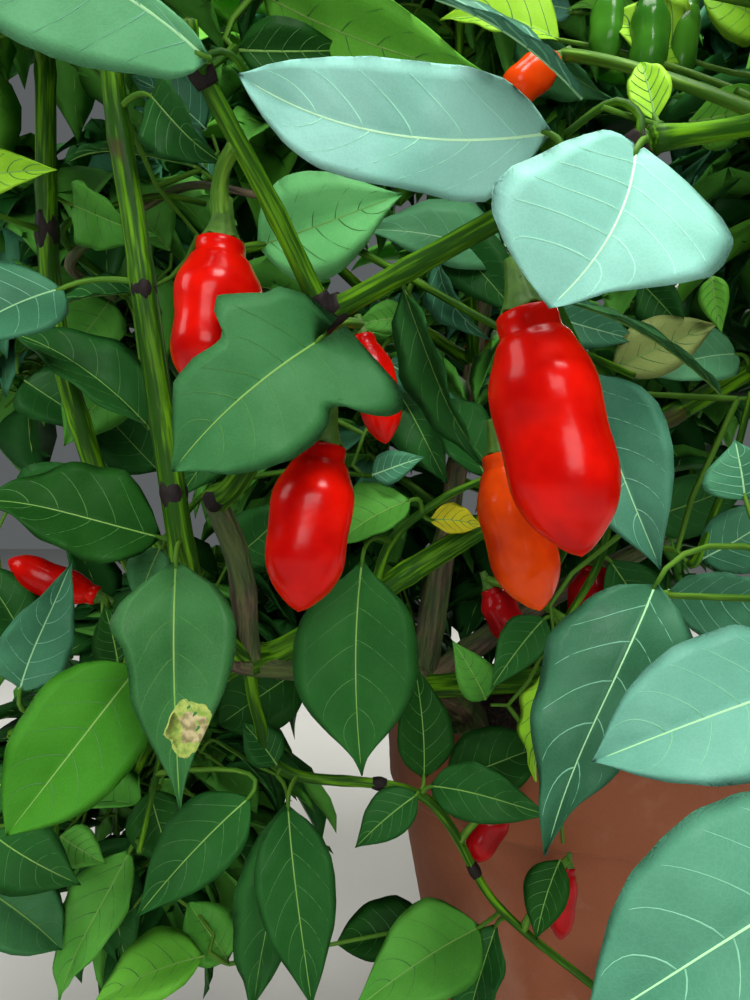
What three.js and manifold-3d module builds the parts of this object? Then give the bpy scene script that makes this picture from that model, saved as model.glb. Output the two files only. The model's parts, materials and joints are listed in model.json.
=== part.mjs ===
// A chilli pepper plant in a terracotta pot, in millimetres with +Z up.
// The origin is the middle of the pot's flat underside. The open front of the crown faces -Y.
import * as THREE from 'three';
import { mergeVertices } from 'three/addons/utils/BufferGeometryUtils.js';
import Module from 'manifold-3d';

const wasm = await Module();
wasm.setup();
const { Manifold, Mesh } = wasm;

const v = (x, y, z) => new THREE.Vector3(x, y, z);
const UP = v(0, 0, 1);
const GOLDEN = Math.PI * (3 - Math.sqrt(5)); // the turn from one leaf to the next round a stem

// Pot and soil
const POT_HEIGHT = 270;
const RIM_RADIUS = 150; // the outside of the rim band
const RIM_BAND = 58;
const RIM_STEP = 8; // how far the band stands out of the body
const FOOT_RADIUS = 104;
const WALL = 8;
const FLOOR = 12;
const SOIL_TOP = 245;
const POT_SIDES = 24;

// Clearances
const CLEAR = 0.3; // between a piece and the one that carries it
const APART = 0.4; // between leaves, fruit and anything of another piece
const FINEST = 0.2; // corners nearer than this after joining become one
const LOWEST = 30; // no random leaf hangs lower than this

// The crown is looked into from here, at its open front. A place in the named part of the crown
// is given by picture point, across and down, and by its depth from the eye.
const EYE = v(-160, -600, 430);
const FOCAL = 752;
const MIDDLE = { across: 375, down: 500 };
const seen = (across, down, depth) => v(
  EYE.x + ((across - MIDDLE.across) * depth) / FOCAL,
  EYE.y + depth,
  EYE.z - ((down - MIDDLE.down) * depth) / FOCAL,
);
const OPEN_DEPTH = 430; // nearer than this only the named leaves stand in view
const OPEN_WIDTH = 0.53;
const OPEN_HEIGHT = 0.7;

// Forks of the limbs
const TRUNK_FOOT = v(-95, -45, SOIL_TOP + CLEAR);
const TRUNK_FORK = v(-128, -84, 302);
const LEFT_FORK = seen(248, 660, 420);
const LEFT_NODE = seen(215, 500, 370);
const FRONT_FORK = seen(325, 315, 320);
const LEFT_ARM_NODE = seen(200, 68, 270);
const RIGHT_ARM_NODE = seen(650, 140, 240);
const CENTRE_FORK = v(-80, 10, 540);
const RIGHT_FORK = v(90, -20, 420);
const BACK_FORK = v(-80, 140, 450);

// Limbs: name, places along the axis, radius at the start and at the end
const LIMBS = [
  ['trunk', [TRUNK_FOOT, v(-95, -45, 268), v(-106, -60, 288), TRUNK_FORK, v(-136, -91, 306)], 15, 12.5],
  ['bough_left_low', [TRUNK_FORK, v(-180, -135, 325), LEFT_FORK, seen(238, 654, 414)], 10.5, 8.5],
  ['bough_centre', [TRUNK_FORK, v(-104, -36, 420), CENTRE_FORK, v(-60, 20, 640)], 9.5, 6],
  ['bough_right', [TRUNK_FORK, v(-45, -45, 350), RIGHT_FORK, v(190, -10, 520)], 9, 5.5],
  ['bough_back', [TRUNK_FORK, v(-112, 20, 365), BACK_FORK, v(-60, 210, 540)], 8.5, 5],
  ['bough_right_front', [TRUNK_FORK, v(-75, -150, 322), v(5, -245, 350), v(60, -300, 395)], 8, 5],
  ['bough_left_rise', [LEFT_FORK, seen(241, 572, 392), LEFT_NODE], 7, 6],
  ['bough_across', [LEFT_FORK, seen(300, 640, 432), seen(485, 525, 440), seen(745, 373, 455)], 7.2, 6],
  ['bough_left', [LEFT_FORK, v(-318, -112, 425), v(-372, -45, 520)], 6.5, 5],
  ['bough_upper_right', [CENTRE_FORK, v(30, 30, 640), v(105, 35, 700)], 5.5, 4.5],
  ['bough_upper_left', [CENTRE_FORK, v(-170, 60, 615), v(-230, 85, 680)], 5.5, 4.5],
  ['bough_upper_front', [CENTRE_FORK, v(-95, -70, 640), v(-105, -110, 690)], 5, 4],
  ['bough_low_right', [RIGHT_FORK, v(150, -75, 425), v(205, -110, 440)], 5, 4],
  ['bough_right_back', [RIGHT_FORK, v(130, 80, 465), v(165, 140, 510)], 5.5, 4.5],
  ['bough_back_left', [BACK_FORK, v(-160, 165, 480), v(-230, 180, 520)], 5, 4],
  ['bough_back_low', [BACK_FORK, v(-10, 185, 430), v(50, 205, 440)], 5, 4],
];
const TRUNK_SIDES = 10;
const LIMB_SIDES = 5;
const STEM_SIDES = 5;
const PLAIN_STEM_SIDES = 4; // of a mass that has no named leaves
const STEPS_BETWEEN = 3; // rings of a limb from one of its places to the next
const TRUNK_FLARE = 0.75; // how much wider the trunk's foot is
const FLARE_REACH = 0.16;

// The masses of foliage. stem is the one stem of the mass, from the limb that carries it, and arms
// are its named side stems. centre and size give the space that its random twigs keep to.
// leaves: base of the blade, tip, width, turn about the midrib in degrees.
// pods: top, tip, largest radius, ripe or not.
const MASSES = [
  {
    name: 'foliage_front', stem: [LEFT_NODE, seen(245, 470, 350), FRONT_FORK], radii: [5.6, 5],
    arms: [
      { path: [FRONT_FORK, seen(272, 205, 298), LEFT_ARM_NODE, seen(188, 20, 262)], radii: [4.4, 3.2] },
      { path: [FRONT_FORK, seen(420, 262, 296), seen(505, 215, 272), RIGHT_ARM_NODE], radii: [4.6, 4] },
      { path: [seen(505, 215, 272), seen(545, 285, 305), seen(588, 366, 340)], radii: [3, 1.8] },
    ],
    leaves: [
      [seen(207, 58, 255), seen(-90, -60, 215), 46, 40],
      [seen(550, 133, 258), seen(238, 74, 272), 42, 0],
      [seen(318, 341, 305), seen(172, 472, 283), 62, 0],
      [seen(638, 150, 236), seen(543, 306, 205), 64, 0],
      [seen(590, 374, 345), seen(661, 570, 335), 50, 8],
    ],
    pods: [
      [seen(221, 240, 308), seen(206, 396, 306), 18.5, true],
      [seen(325, 444, 328), seen(298, 612, 322), 18, true],
      [seen(525, 310, 252), seen(582, 557, 246), 19, true],
      [seen(500, 452, 338), seen(540, 611, 334), 16, true],
      [seen(362, 335, 378), seen(386, 444, 374), 11, true],
    ],
  },
  {
    name: 'foliage_front_left', stem: [LEFT_FORK, seen(205, 615, 385), seen(184, 555, 342),
      seen(160, 400, 332), seen(135, 230, 326), seen(112, 80, 330), seen(98, -110, 336)], radii: [6.4, 4.6],
    leaves: [
      [seen(176, 562, 322), seen(180, 812, 300), 50, 0],
      [seen(160, 537, 350), seen(-25, 500, 330), 46, 12],
      [seen(150, 428, 352), seen(2, 330, 350), 44, 35],
      [seen(62, 288, 318), seen(-60, 352, 290), 42, 25],
      [seen(150, 95, 320), seen(225, 165, 310), 30, 40],
    ],
    centre: v(-285, -285, 735), size: v(105, 95, 115), twigs: 4, bare: 0.8, seed: 11,
  },
  {
    name: 'foliage_far_left', stem: [LEFT_FORK, seen(150, 590, 418), seen(82, 430, 405),
      seen(50, 280, 400), seen(45, 60, 400), seen(40, -70, 405)], radii: [6.2, 4.8],
    leaves: [
      [seen(8, 168, 330), seen(58, 172, 325), 20, 0],
      [seen(72, 205, 420), seen(160, 235, 400), 34, 40],
    ],
    centre: v(-360, -185, 735), size: v(110, 90, 120), twigs: 4, bare: 0.74, seed: 23,
  },
  {
    name: 'foliage_low_left', stem: [LEFT_FORK, seen(180, 672, 425), seen(90, 700, 420), seen(10, 735, 415)],
    radii: [4.2, 2.6],
    arms: [
      { path: [seen(180, 672, 425), seen(160, 760, 410), seen(140, 850, 400)], radii: [2.4, 1.5] },
      { path: [seen(90, 700, 420), seen(60, 800, 410), seen(55, 880, 400)], radii: [2.4, 1.5] },
    ],
    leaves: [
      [seen(138, 667, 335), seen(8, 836, 300), 47, 0],
      [seen(74, 562, 380), seen(18, 680, 372), 34, 10],
      [seen(250, 797, 384), seen(136, 918, 362), 38, 0],
      [seen(62, 884, 398), seen(-25, 940, 396), 36, 0],
      [seen(130, 850, 420), seen(60, 1000, 400), 36, 20],
      [seen(20, 770, 430), seen(-60, 850, 410), 36, 20],
    ],
    pods: [[seen(98, 596, 452), seen(8, 560, 448), 11, true]],
  },
  {
    name: 'foliage_low_front', stem: [LEFT_FORK, seen(258, 715, 426), seen(287, 772, 428),
      seen(423, 797, 430), seen(497, 905, 428), seen(600, 992, 420)], radii: [3.6, 2.2],
    leaves: [
      [seen(418, 794, 426), seen(355, 848, 424), 26, 0],
      [seen(424, 778, 440), seen(414, 662, 452), 34, 10],
      [seen(430, 786, 428), seen(552, 816, 408), 31, 10],
      [seen(446, 782, 462), seen(556, 742, 470), 44, 0],
      [seen(480, 927, 434), seen(352, 1012, 402), 50, 0],
      [seen(496, 925, 436), seen(470, 1040, 430), 36, 30],
      [seen(288, 806, 412), seen(312, 1008, 392), 42, 0],
      [seen(604, 990, 414), seen(700, 1060, 400), 40, 0],
    ],
    pods: [
      [seen(505, 806, 442), seen(470, 862, 438), 10, true],
      [seen(568, 866, 435), seen(560, 940, 433), 8, true],
    ],
  },
  {
    name: 'foliage_middle', stem: [seen(372, 596, 438), seen(392, 540, 420), seen(440, 500, 415),
      seen(486, 478, 418)], radii: [3.2, 1.8],
    leaves: [
      [seen(362, 568, 382), seen(360, 774, 360), 60, 0],
      [seen(486, 476, 420), seen(430, 388, 440), 34, 20],
      [seen(430, 520, 425), seen(482, 526, 430), 18, 0],
      [seen(410, 500, 400), seen(330, 552, 395), 40, 30],
    ],
  },
  {
    name: 'foliage_under', stem: [seen(585, 466, 442), seen(606, 500, 446), seen(600, 560, 440),
      seen(560, 630, 430)], radii: [3.2, 1.8],
    leaves: [
      [seen(566, 668, 400), seen(536, 782, 385), 30, 50],
      [seen(545, 618, 420), seen(490, 690, 405), 26, 0],
      [seen(610, 560, 440), seen(665, 640, 450), 34, 0],
    ],
    pods: [
      [seen(594, 566, 470), seen(588, 644, 466), 15, true],
      [seen(490, 588, 480), seen(515, 642, 476), 12, true],
    ],
  },
  {
    name: 'foliage_right_front', stem: [v(60, -300, 395), v(78, -330, 430), v(95, -345, 480)],
    radii: [4.6, 3],
    arms: [
      { path: [v(77, -328, 428), v(40, -352, 415), v(8, -366, 398)], radii: [2.8, 1.8] },
      { path: [v(68, -314, 410), v(45, -340, 360), v(12, -388, 322)], radii: [2.6, 1.6] },
    ],
    leaves: [
      [seen(655, 585, 300), seen(546, 856, 272), 50, 12],
      [seen(826, 676, 242), seen(592, 762, 236), 46, 0],
      [seen(880, 846, 205), seen(584, 1030, 192), 54, 0],
      [seen(668, 592, 318), seen(800, 590, 300), 36, 50],
      [seen(720, 900, 290), seen(640, 1010, 285), 40, 0],
      [seen(745, 500, 300), seen(735, 440, 300), 30, 0],
    ],
    centre: v(110, -335, 470), size: v(105, 80, 120), twigs: 4, bare: 0.2, seed: 37,
  },
  {
    name: 'foliage_right_high', stem: [RIGHT_ARM_NODE, seen(750, 125, 250), seen(860, 95, 272),
      v(60, -325, 640)], radii: [3.8, 2.6],
    leaves: [
      [seen(655, 120, 250), seen(640, 62, 262), 14, 0],
      [seen(690, 60, 330), seen(600, 20, 330), 34, 30],
      [seen(560, 40, 340), seen(440, 20, 350), 36, 40],
    ],
    pods: [
      [seen(612, -12, 332), seen(605, 66, 330), 7.5, false],
      [seen(650, -8, 322), seen(645, 84, 320), 8.5, false],
      [seen(692, 0, 330), seen(680, 88, 328), 6, false],
      [seen(556, 60, 335), seen(502, 102, 332), 9, true],
    ],
    centre: v(70, -320, 640), size: v(105, 90, 105), twigs: 4, bare: 0.35, seed: 41,
  },
  {
    name: 'foliage_across', stem: [seen(745, 373, 455), v(110, -165, 560), v(140, -175, 620)],
    radii: [5, 3],
    leaves: [
      [seen(748, 352, 440), seen(640, 350, 420), 30, 0],
    ],
    centre: v(130, -175, 610), size: v(120, 100, 110), twigs: 5, bare: 0.1, seed: 53,
  },
  { name: 'foliage_inner_left', stem: [v(-106, -34, 420), v(-160, -20, 462), v(-215, -5, 505)],
    radii: [3.4, 2.2], centre: v(-205, -10, 490), size: v(105, 100, 105), twigs: 4, bare: 0.2, seed: 113 },
  { name: 'foliage_inner_right', stem: [v(-44, -46, 351), v(-8, -60, 425), v(20, -70, 500)],
    radii: [3.2, 2.2], centre: v(15, -65, 505), size: v(95, 90, 95), twigs: 4, bare: 0.3, seed: 127 },
  { name: 'foliage_inner_low', stem: [v(-112, 22, 366), v(-155, 50, 378), v(-200, 75, 385)],
    radii: [3.2, 2.2], centre: v(-200, 75, 380), size: v(105, 100, 95), twigs: 4, bare: 0.2, seed: 131 },
  { name: 'foliage_low_back_left', stem: [LEFT_FORK, v(-280, -85, 332), v(-325, 15, 310)],
    radii: [3.6, 2.2], centre: v(-335, 55, 300), size: v(125, 115, 115), twigs: 4, bare: 0.2, seed: 137 },
  { name: 'foliage_hanging_left', stem: [LEFT_FORK, v(-290, -140, 290), v(-330, -95, 225)],
    radii: [3.4, 2.2], centre: v(-330, -75, 205), size: v(120, 110, 105), twigs: 4, bare: 0.2, seed: 139 },
  { name: 'foliage_low_middle', stem: [v(-97, 85, 412), v(-150, 125, 345), v(-195, 155, 300)],
    radii: [3.2, 2.2], centre: v(-205, 165, 290), size: v(115, 105, 100), twigs: 4, bare: 0.3, seed: 149 },
  { name: 'foliage_over_pot', stem: [v(-10, 185, 430), v(5, 150, 380), v(10, 115, 345)],
    radii: [3, 2], centre: v(10, 105, 345), size: v(110, 95, 80), twigs: 4, bare: 0.2, seed: 151 },
  { name: 'foliage_top', stem: [v(-60, 20, 640), v(-48, 18, 740), v(-40, 10, 830)], radii: [5, 2.6],
    centre: v(-45, 15, 800), size: v(140, 130, 135), twigs: 5, bare: 0.1, seed: 61 },
  { name: 'foliage_top_right', stem: [v(105, 35, 700), v(135, 35, 760), v(155, 30, 810)], radii: [3.8, 2.4],
    centre: v(160, 35, 780), size: v(125, 125, 125), twigs: 5, bare: 0.1, seed: 67 },
  { name: 'foliage_top_left', stem: [v(-230, 85, 680), v(-255, 95, 735), v(-270, 100, 790)],
    radii: [3.8, 2.4], centre: v(-265, 95, 755), size: v(125, 125, 125), twigs: 5, bare: 0.1,
    seed: 71 },
  { name: 'foliage_top_front', stem: [v(-105, -110, 690), v(-108, -140, 750), v(-110, -165, 800)],
    radii: [3.4, 2.2], centre: v(-112, -150, 770), size: v(125, 110, 110), twigs: 5, bare: 0.1,
    seed: 73 },
  { name: 'foliage_right', stem: [v(190, -10, 520), v(235, -5, 570), v(265, 0, 630)], radii: [4.6, 2.6],
    centre: v(265, -5, 600), size: v(125, 120, 125), twigs: 5, bare: 0.1, seed: 86 },
  { name: 'foliage_low_right', stem: [v(205, -110, 440), v(240, -130, 440), v(280, -145, 450)],
    radii: [3.4, 2.2], centre: v(250, -140, 430), size: v(115, 110, 110), twigs: 5, bare: 0.1,
    seed: 83 },
  { name: 'foliage_right_back', stem: [v(165, 140, 510), v(195, 180, 555), v(215, 205, 605)],
    radii: [3.8, 2.4], centre: v(200, 190, 570), size: v(120, 120, 125), twigs: 5, bare: 0.1,
    seed: 89 },
  { name: 'foliage_back', stem: [v(-60, 210, 540), v(-55, 245, 600), v(-50, 265, 665)], radii: [4.2, 2.4],
    centre: v(-55, 250, 620), size: v(130, 115, 130), twigs: 5, bare: 0.1, seed: 97 },
  { name: 'foliage_back_left', stem: [v(-230, 180, 520), v(-275, 190, 550), v(-310, 195, 590)],
    radii: [3.4, 2.2], centre: v(-285, 190, 565), size: v(120, 115, 120), twigs: 5, bare: 0.1,
    seed: 101 },
  { name: 'foliage_back_low', stem: [v(50, 205, 440), v(85, 220, 430), v(120, 230, 420)], radii: [3.4, 2.2],
    centre: v(90, 225, 410), size: v(125, 110, 105), twigs: 5, bare: 0.1, seed: 103 },
  { name: 'foliage_left', stem: [v(-372, -45, 520), v(-395, -25, 570), v(-410, -10, 620)], radii: [4.2, 2.4],
    centre: v(-395, -20, 590), size: v(115, 130, 130), twigs: 5, bare: 0.1, seed: 107 },
];

// Leaves, twigs and fruit of the random part
const TWIG_REACH = 0.6; // of the space's size
const SPREAD_DOWN = 1.6; // how far round from the top the twigs are spread: 2 is right round
const LEAF_SPACE = 1.25; // a leaf's tip may stand this much further out than the space
const TWIG_UNEVEN = { least: 0.85, spread: 0.3 }; // one twig's reach against another's
const LEAVES_PER_TWIG = 5;
const LEAVES_FROM = 0.98; // the outermost leaf's place along the twig
const LEAVES_OVER = 0.56; // the share of the twig that carries leaves
const LEAF_OUT = { side: 0.8, along: 0.6, up: 0.1 }; // how a stalk leaves its twig
const LEAF_LENGTH = { least: 84, spread: 34 };
const LEAF_WIDTH = 0.56; // of its length
const DROOP = { least: 0.35, spread: 1.1 }; // how far down a blade points for each step outwards
const KEEP_RISE = 0.3; // how much of its stalk's rise a blade keeps
const FACE_UP = 0.7; // how far a random blade's face turns up
const FACE_ROLL = 0.9; // radians between the blades' greatest turns about the midrib
const NAMED_FACE_UP = 0.25;
const PETIOLE = { least: 16, spread: 16, radius: 1.1 };
const TWIG_RADIUS = 2.4;
const TWIG_TIP = 1.3;
const POD_LENGTH = { least: 58, spread: 20 };
const POD_RADIUS = 14;
const POD_FROM = 4; // a mass with more twigs than this carries one more fruit
const POD_TWIG = 1; // the twig that carries it
const POD_PLACE = 0.45; // along that twig
const POD_STALK = { up: 10, side: 10, drop: 14 };
const POD_LEAN = 0.2;
const NAMED_STALK = { share: 0.6, up: 9 }; // where a named fruit's stalk bends over

// A named leaf's blade: distance along the midrib and half width at each place, as shares of its
// size. A random leaf has one place on each side, and its stalk is the narrow end of the blade.
const BLADE_EDGE = [[0.22, 0.44], [0.62, 0.32]];
const PLAIN_WIDEST = 0.5;
const BLADE_MIDDLE = 0.4;
const BLADE_THICK = 0.026;
const BLADE_ARCH = 0.07; // how far the midrib stands above its chord
const BLADE_FOLD = 0.1; // how far the edges stand above the midrib

// A pod's outline: radius and distance from its top, as shares
const POD_OUTLINE = [[0.42, 0.02], [1, 0.42], [0.88, 0.7], [0.42, 0.92]];
const POD_SIDES = 5;
const STALK_RADIUS = 2.4;
const STALK_SUNK = 5;

// One closed solid from a geometry whose matching corners are merged
function solidOf(geometry) {
  const bare = geometry.clone();
  bare.deleteAttribute('normal');
  bare.deleteAttribute('uv');
  const merged = mergeVertices(bare, 1e-5);
  return new Manifold(new Mesh({
    numProp: 3,
    vertProperties: Float32Array.from(merged.attributes.position.array),
    triVerts: Uint32Array.from(merged.index.array),
  }));
}

function geometryOf(solid) {
  const mesh = solid.getMesh();
  const geometry = new THREE.BufferGeometry();
  geometry.setAttribute('position', new THREE.BufferAttribute(Float32Array.from(mesh.vertProperties), 3));
  geometry.setIndex(Array.from(mesh.triVerts));
  geometry.computeVertexNormals();
  return geometry;
}

const pathOf = (points) => new THREE.CatmullRomCurve3(points, false, 'catmullrom', 0.5);
const stepsOf = (points) => (points.length - 1) * STEPS_BETWEEN;

// A cylinder bent along a path, with its own radius at each place
function bent(points, radiusAt, sides, grow = 0) {
  const steps = stepsOf(points);
  const ends = points.map((point) => point.clone());
  const last = ends.length - 1;
  ends[0].addScaledVector(v(0, 0, 0).subVectors(points[0], points[1]).normalize(), grow);
  ends[last].addScaledVector(v(0, 0, 0).subVectors(points[last], points[last - 1]).normalize(), grow);
  const path = pathOf(ends);
  const frames = path.computeFrenetFrames(steps, false);
  const geometry = new THREE.CylinderGeometry(1, 1, 1, sides, steps);
  const place = geometry.attributes.position;
  for (let i = 0; i < place.count; i++) {
    const share = place.getY(i) + 0.5;
    const step = Math.round(share * steps);
    const radius = radiusAt(share) + grow;
    const point = path.getPointAt(share);
    point.addScaledVector(frames.normals[step], -place.getX(i) * radius);
    point.addScaledVector(frames.binormals[step], place.getZ(i) * radius);
    place.setXYZ(i, point.x, point.y, point.z);
  }
  return solidOf(geometry);
}

// A straight tapered stick with three sides
function stick(from, to, fromRadius, toRadius) {
  const way = v(0, 0, 0).subVectors(to, from);
  const geometry = new THREE.CylinderGeometry(toRadius, fromRadius, way.length(), 3, 1);
  geometry.translate(0, way.length() / 2, 0);
  geometry.applyQuaternion(new THREE.Quaternion().setFromUnitVectors(v(0, 1, 0), way.normalize()));
  geometry.translate(from.x, from.y, from.z);
  return solidOf(geometry);
}

// The corners of a blade: edge points round it, and the top and bottom of its middle
function bladeCorners(leaf, places, middle) {
  const along = v(0, 0, 0).subVectors(leaf.tip, leaf.base);
  const long = along.length();
  const across = v(0, 0, 0).crossVectors(along, leaf.face).normalize();
  const at = (share, side, height) => leaf.base.clone()
    .addScaledVector(along, share)
    .addScaledVector(across, side * leaf.width)
    .addScaledVector(leaf.face, height * long);
  const lift = (share) => 4 * BLADE_ARCH * share * (1 - share);
  const edge = (share, side) => at(share, side, lift(share) + BLADE_FOLD * Math.abs(side));
  const ring = [at(0, 0, 0)];
  places.forEach(([share, half]) => ring.push(edge(share, half)));
  ring.push(at(1, 0, 0));
  places.toReversed().forEach(([share, half]) => ring.push(edge(share, -half)));
  const top = at(middle, 0, lift(middle) + BLADE_THICK / 2);
  const bottom = at(middle, 0, lift(middle) - BLADE_THICK / 2);
  return { ring, top, bottom };
}

function cornered(corners, faces) {
  const geometry = new THREE.BufferGeometry();
  const numbers = corners.flatMap((corner) => [corner.x, corner.y, corner.z]);
  geometry.setAttribute('position', new THREE.Float32BufferAttribute(numbers, 3));
  geometry.setIndex(faces);
  return solidOf(geometry);
}

// A random leaf: a blade of eight faces whose narrow end starts inside the twig
function plainLeafSolid(leaf) {
  const blade = { ...leaf, base: leaf.root };
  const { ring, top, bottom } = bladeCorners(blade, [[PLAIN_WIDEST, 0.5]], PLAIN_WIDEST);
  const faces = ring.flatMap((_, i) => {
    const next = (i + 1) % ring.length;
    return [i, next, ring.length, next, i, ring.length + 1];
  });
  return cornered([...ring, top, bottom], faces);
}

// A leaf is one solid: a blade with a three-sided stalk that starts inside the wood
function leafSolid(leaf) {
  const { ring, top, bottom } = bladeCorners(leaf, BLADE_EDGE, BLADE_MIDDLE);
  const along = v(0, 0, 0).subVectors(leaf.tip, leaf.base).normalize();
  const stalk = v(0, 0, 0).subVectors(leaf.base, leaf.root).normalize();
  const section = (middle, way) => {
    const right = v(0, 0, 0).crossVectors(way, leaf.face).normalize();
    const under = v(0, 0, 0).crossVectors(way, right).normalize();
    return [[right, 1], [right, -1], [under, 1]].map(
      ([side, sign]) => middle.clone().addScaledVector(side, sign * PETIOLE.radius));
  };
  const baseEnd = section(leaf.base, along.clone().add(stalk).normalize());
  const rootEnd = section(leaf.root, stalk);
  const corners = [baseEnd[0], ...ring.slice(1), baseEnd[1], baseEnd[2], ...rootEnd, top, bottom];
  const left = ring.length;
  const [right, under, rootRight, rootLeft, rootUnder] = [0, left + 1, left + 2, left + 3, left + 4];
  const [topMiddle, bottomMiddle] = [left + 5, left + 6];
  const faces = [left, right, topMiddle, under, left, bottomMiddle, right, under, bottomMiddle];
  for (let i = 0; i < left; i++) faces.push(i, i + 1, topMiddle, i + 1, i, bottomMiddle);
  faces.push(right, left, rootLeft, right, rootLeft, rootRight);
  faces.push(left, under, rootUnder, left, rootUnder, rootLeft);
  faces.push(under, right, rootRight, under, rootRight, rootUnder);
  faces.push(rootRight, rootLeft, rootUnder);
  return cornered(corners, faces);
}

// A pod hangs on a thick stalk that leaves the wood and bends over to its top
function podSolids(pod) {
  const along = v(0, 0, 0).subVectors(pod.tip, pod.top);
  const long = along.length();
  const profile = POD_OUTLINE.map(([r, s]) => new THREE.Vector2(r * pod.radius, -s * long));
  profile.unshift(new THREE.Vector2(0, 0));
  profile.push(new THREE.Vector2(0, -long));
  const geometry = new THREE.LatheGeometry(profile.reverse(), POD_SIDES);
  geometry.applyQuaternion(new THREE.Quaternion().setFromUnitVectors(v(0, -1, 0), along.normalize()));
  geometry.translate(pod.top.x, pod.top.y, pod.top.z);
  const sunk = pod.top.clone().addScaledVector(along, STALK_SUNK);
  return [solidOf(geometry), bent([pod.root, pod.bend, sunk], () => STALK_RADIUS, 3)];
}

// Random numbers from 0 to 1 that are the same each time
function dice(seed) {
  let state = seed >>> 0;
  return () => {
    state = (Math.imul(state, 1664525) + 1013904223) >>> 0;
    return state / 4294967296;
  };
}

// A direction square to another, turned about it
function sideways(along, turn) {
  const first = v(0, 0, 0).crossVectors(along, Math.abs(along.z) > 0.9 ? v(1, 0, 0) : UP).normalize();
  return first.applyAxisAngle(along, turn);
}

// The face of a blade: the part of a wished direction that is square to its midrib
function facing(base, tip, wish, turn) {
  const along = v(0, 0, 0).subVectors(tip, base).normalize();
  const face = wish.clone().addScaledVector(along, -wish.dot(along)).normalize();
  return face.applyAxisAngle(along, turn);
}

function nearestOn(lines, point) {
  let best = null;
  lines.forEach((line) => {
    for (let i = 0; i + 1 < line.length; i++) {
      const near = new THREE.Line3(line[i], line[i + 1]).closestPointToPoint(point, true, v(0, 0, 0));
      if (!best || near.distanceTo(point) < best.distanceTo(point)) best = near;
    }
  });
  return best;
}

const inSpace = (mass, point) => {
  const away = point.clone().sub(mass.centre).divide(mass.size).divideScalar(LEAF_SPACE);
  const depth = point.y - EYE.y;
  const inView = Math.abs(point.x - EYE.x) < OPEN_WIDTH * depth
    && Math.abs(point.z - EYE.z) < OPEN_HEIGHT * depth;
  return away.length() < 1 && point.z > LOWEST && !(inView && depth < OPEN_DEPTH);
};

// A random leaf: root in the wood, stalk, and a blade that droops outwards
function randomLeaf(root, along, turn, roll) {
  const out = sideways(along, turn).multiplyScalar(LEAF_OUT.side).addScaledVector(along, LEAF_OUT.along)
    .addScaledVector(UP, LEAF_OUT.up).normalize();
  const stalk = PETIOLE.least + PETIOLE.spread * roll();
  const base = root.clone().addScaledVector(out, stalk);
  const long = LEAF_LENGTH.least + LEAF_LENGTH.spread * roll();
  const droop = DROOP.least + DROOP.spread * roll();
  const way = v(out.x, out.y, out.z * KEEP_RISE - droop).normalize();
  const tip = base.clone().addScaledVector(way, long);
  const wish = v(out.x, out.y, FACE_UP);
  const face = facing(base, tip, wish, (roll() - 0.5) * FACE_ROLL);
  return { root, base, tip, width: long * LEAF_WIDTH, face };
}

// Everything that grows in one mass: side twigs spread round its space, each with its leaves, and
// one fruit. The twigs reach out in a spiral from the top of the space to below its middle.
function grown(mass) {
  const roll = dice(mass.seed);
  const stem = pathOf(mass.stem);
  const twigs = [];
  for (let i = 0; i < mass.twigs; i++) {
    const share = (i + 0.5) / mass.twigs;
    const from = stem.getPoint(1 - (1 - mass.bare) * share);
    const rise = 1 - SPREAD_DOWN * share;
    const out = Math.sqrt(1 - rise * rise);
    const turn = i * GOLDEN + mass.seed;
    const way = v(out * Math.cos(turn), out * Math.sin(turn), rise);
    const reach = TWIG_REACH * (TWIG_UNEVEN.least + TWIG_UNEVEN.spread * roll());
    const to = mass.centre.clone().add(way.clone().multiply(mass.size).multiplyScalar(reach));
    const along = v(0, 0, 0).subVectors(to, from).normalize();
    const leaves = [];
    for (let j = 0; j < LEAVES_PER_TWIG; j++) {
      const root = from.clone().lerp(to, LEAVES_FROM - LEAVES_OVER * (j / (LEAVES_PER_TWIG - 1)));
      leaves.push(randomLeaf(root, along, j * GOLDEN + i, roll));
    }
    twigs.push({ from, to, leaves });
  }
  const { from, to } = twigs[POD_TWIG];
  const root = from.clone().lerp(to, POD_PLACE);
  const side = sideways(UP, mass.seed);
  const bend = root.clone().addScaledVector(UP, POD_STALK.up).addScaledVector(side, POD_STALK.side);
  const lean = side.clone().multiplyScalar(POD_LEAN).addScaledVector(UP, -1).normalize();
  const top = bend.clone().addScaledVector(lean, POD_STALK.drop);
  const tip = top.clone().addScaledVector(lean, POD_LENGTH.least + POD_LENGTH.spread * roll());
  return { twigs, pod: { root, bend, top, tip, radius: POD_RADIUS, ripe: true } };
}

// Leaves and fruit that stand at named places, each on the nearest wood of its mass
function namedParts(mass) {
  const lines = [mass.stem, ...(mass.arms ?? []).map((arm) => arm.path)]
    .map((points) => pathOf(points).getSpacedPoints(stepsOf(points)));
  const leaves = (mass.leaves ?? []).map(([base, tip, width, turn]) => {
    const wish = v(0, 0, 0).subVectors(EYE, base).normalize().addScaledVector(UP, NAMED_FACE_UP);
    const face = facing(base, tip, wish, THREE.MathUtils.degToRad(turn));
    return { root: nearestOn(lines, base), base, tip, width, face };
  });
  const pods = (mass.pods ?? []).map(([top, tip, radius, ripe]) => {
    const root = nearestOn(lines, top);
    const bend = root.clone().lerp(top, NAMED_STALK.share).addScaledVector(UP, NAMED_STALK.up);
    return { root, bend, top, tip, radius, ripe };
  });
  return { leaves, pods };
}

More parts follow.
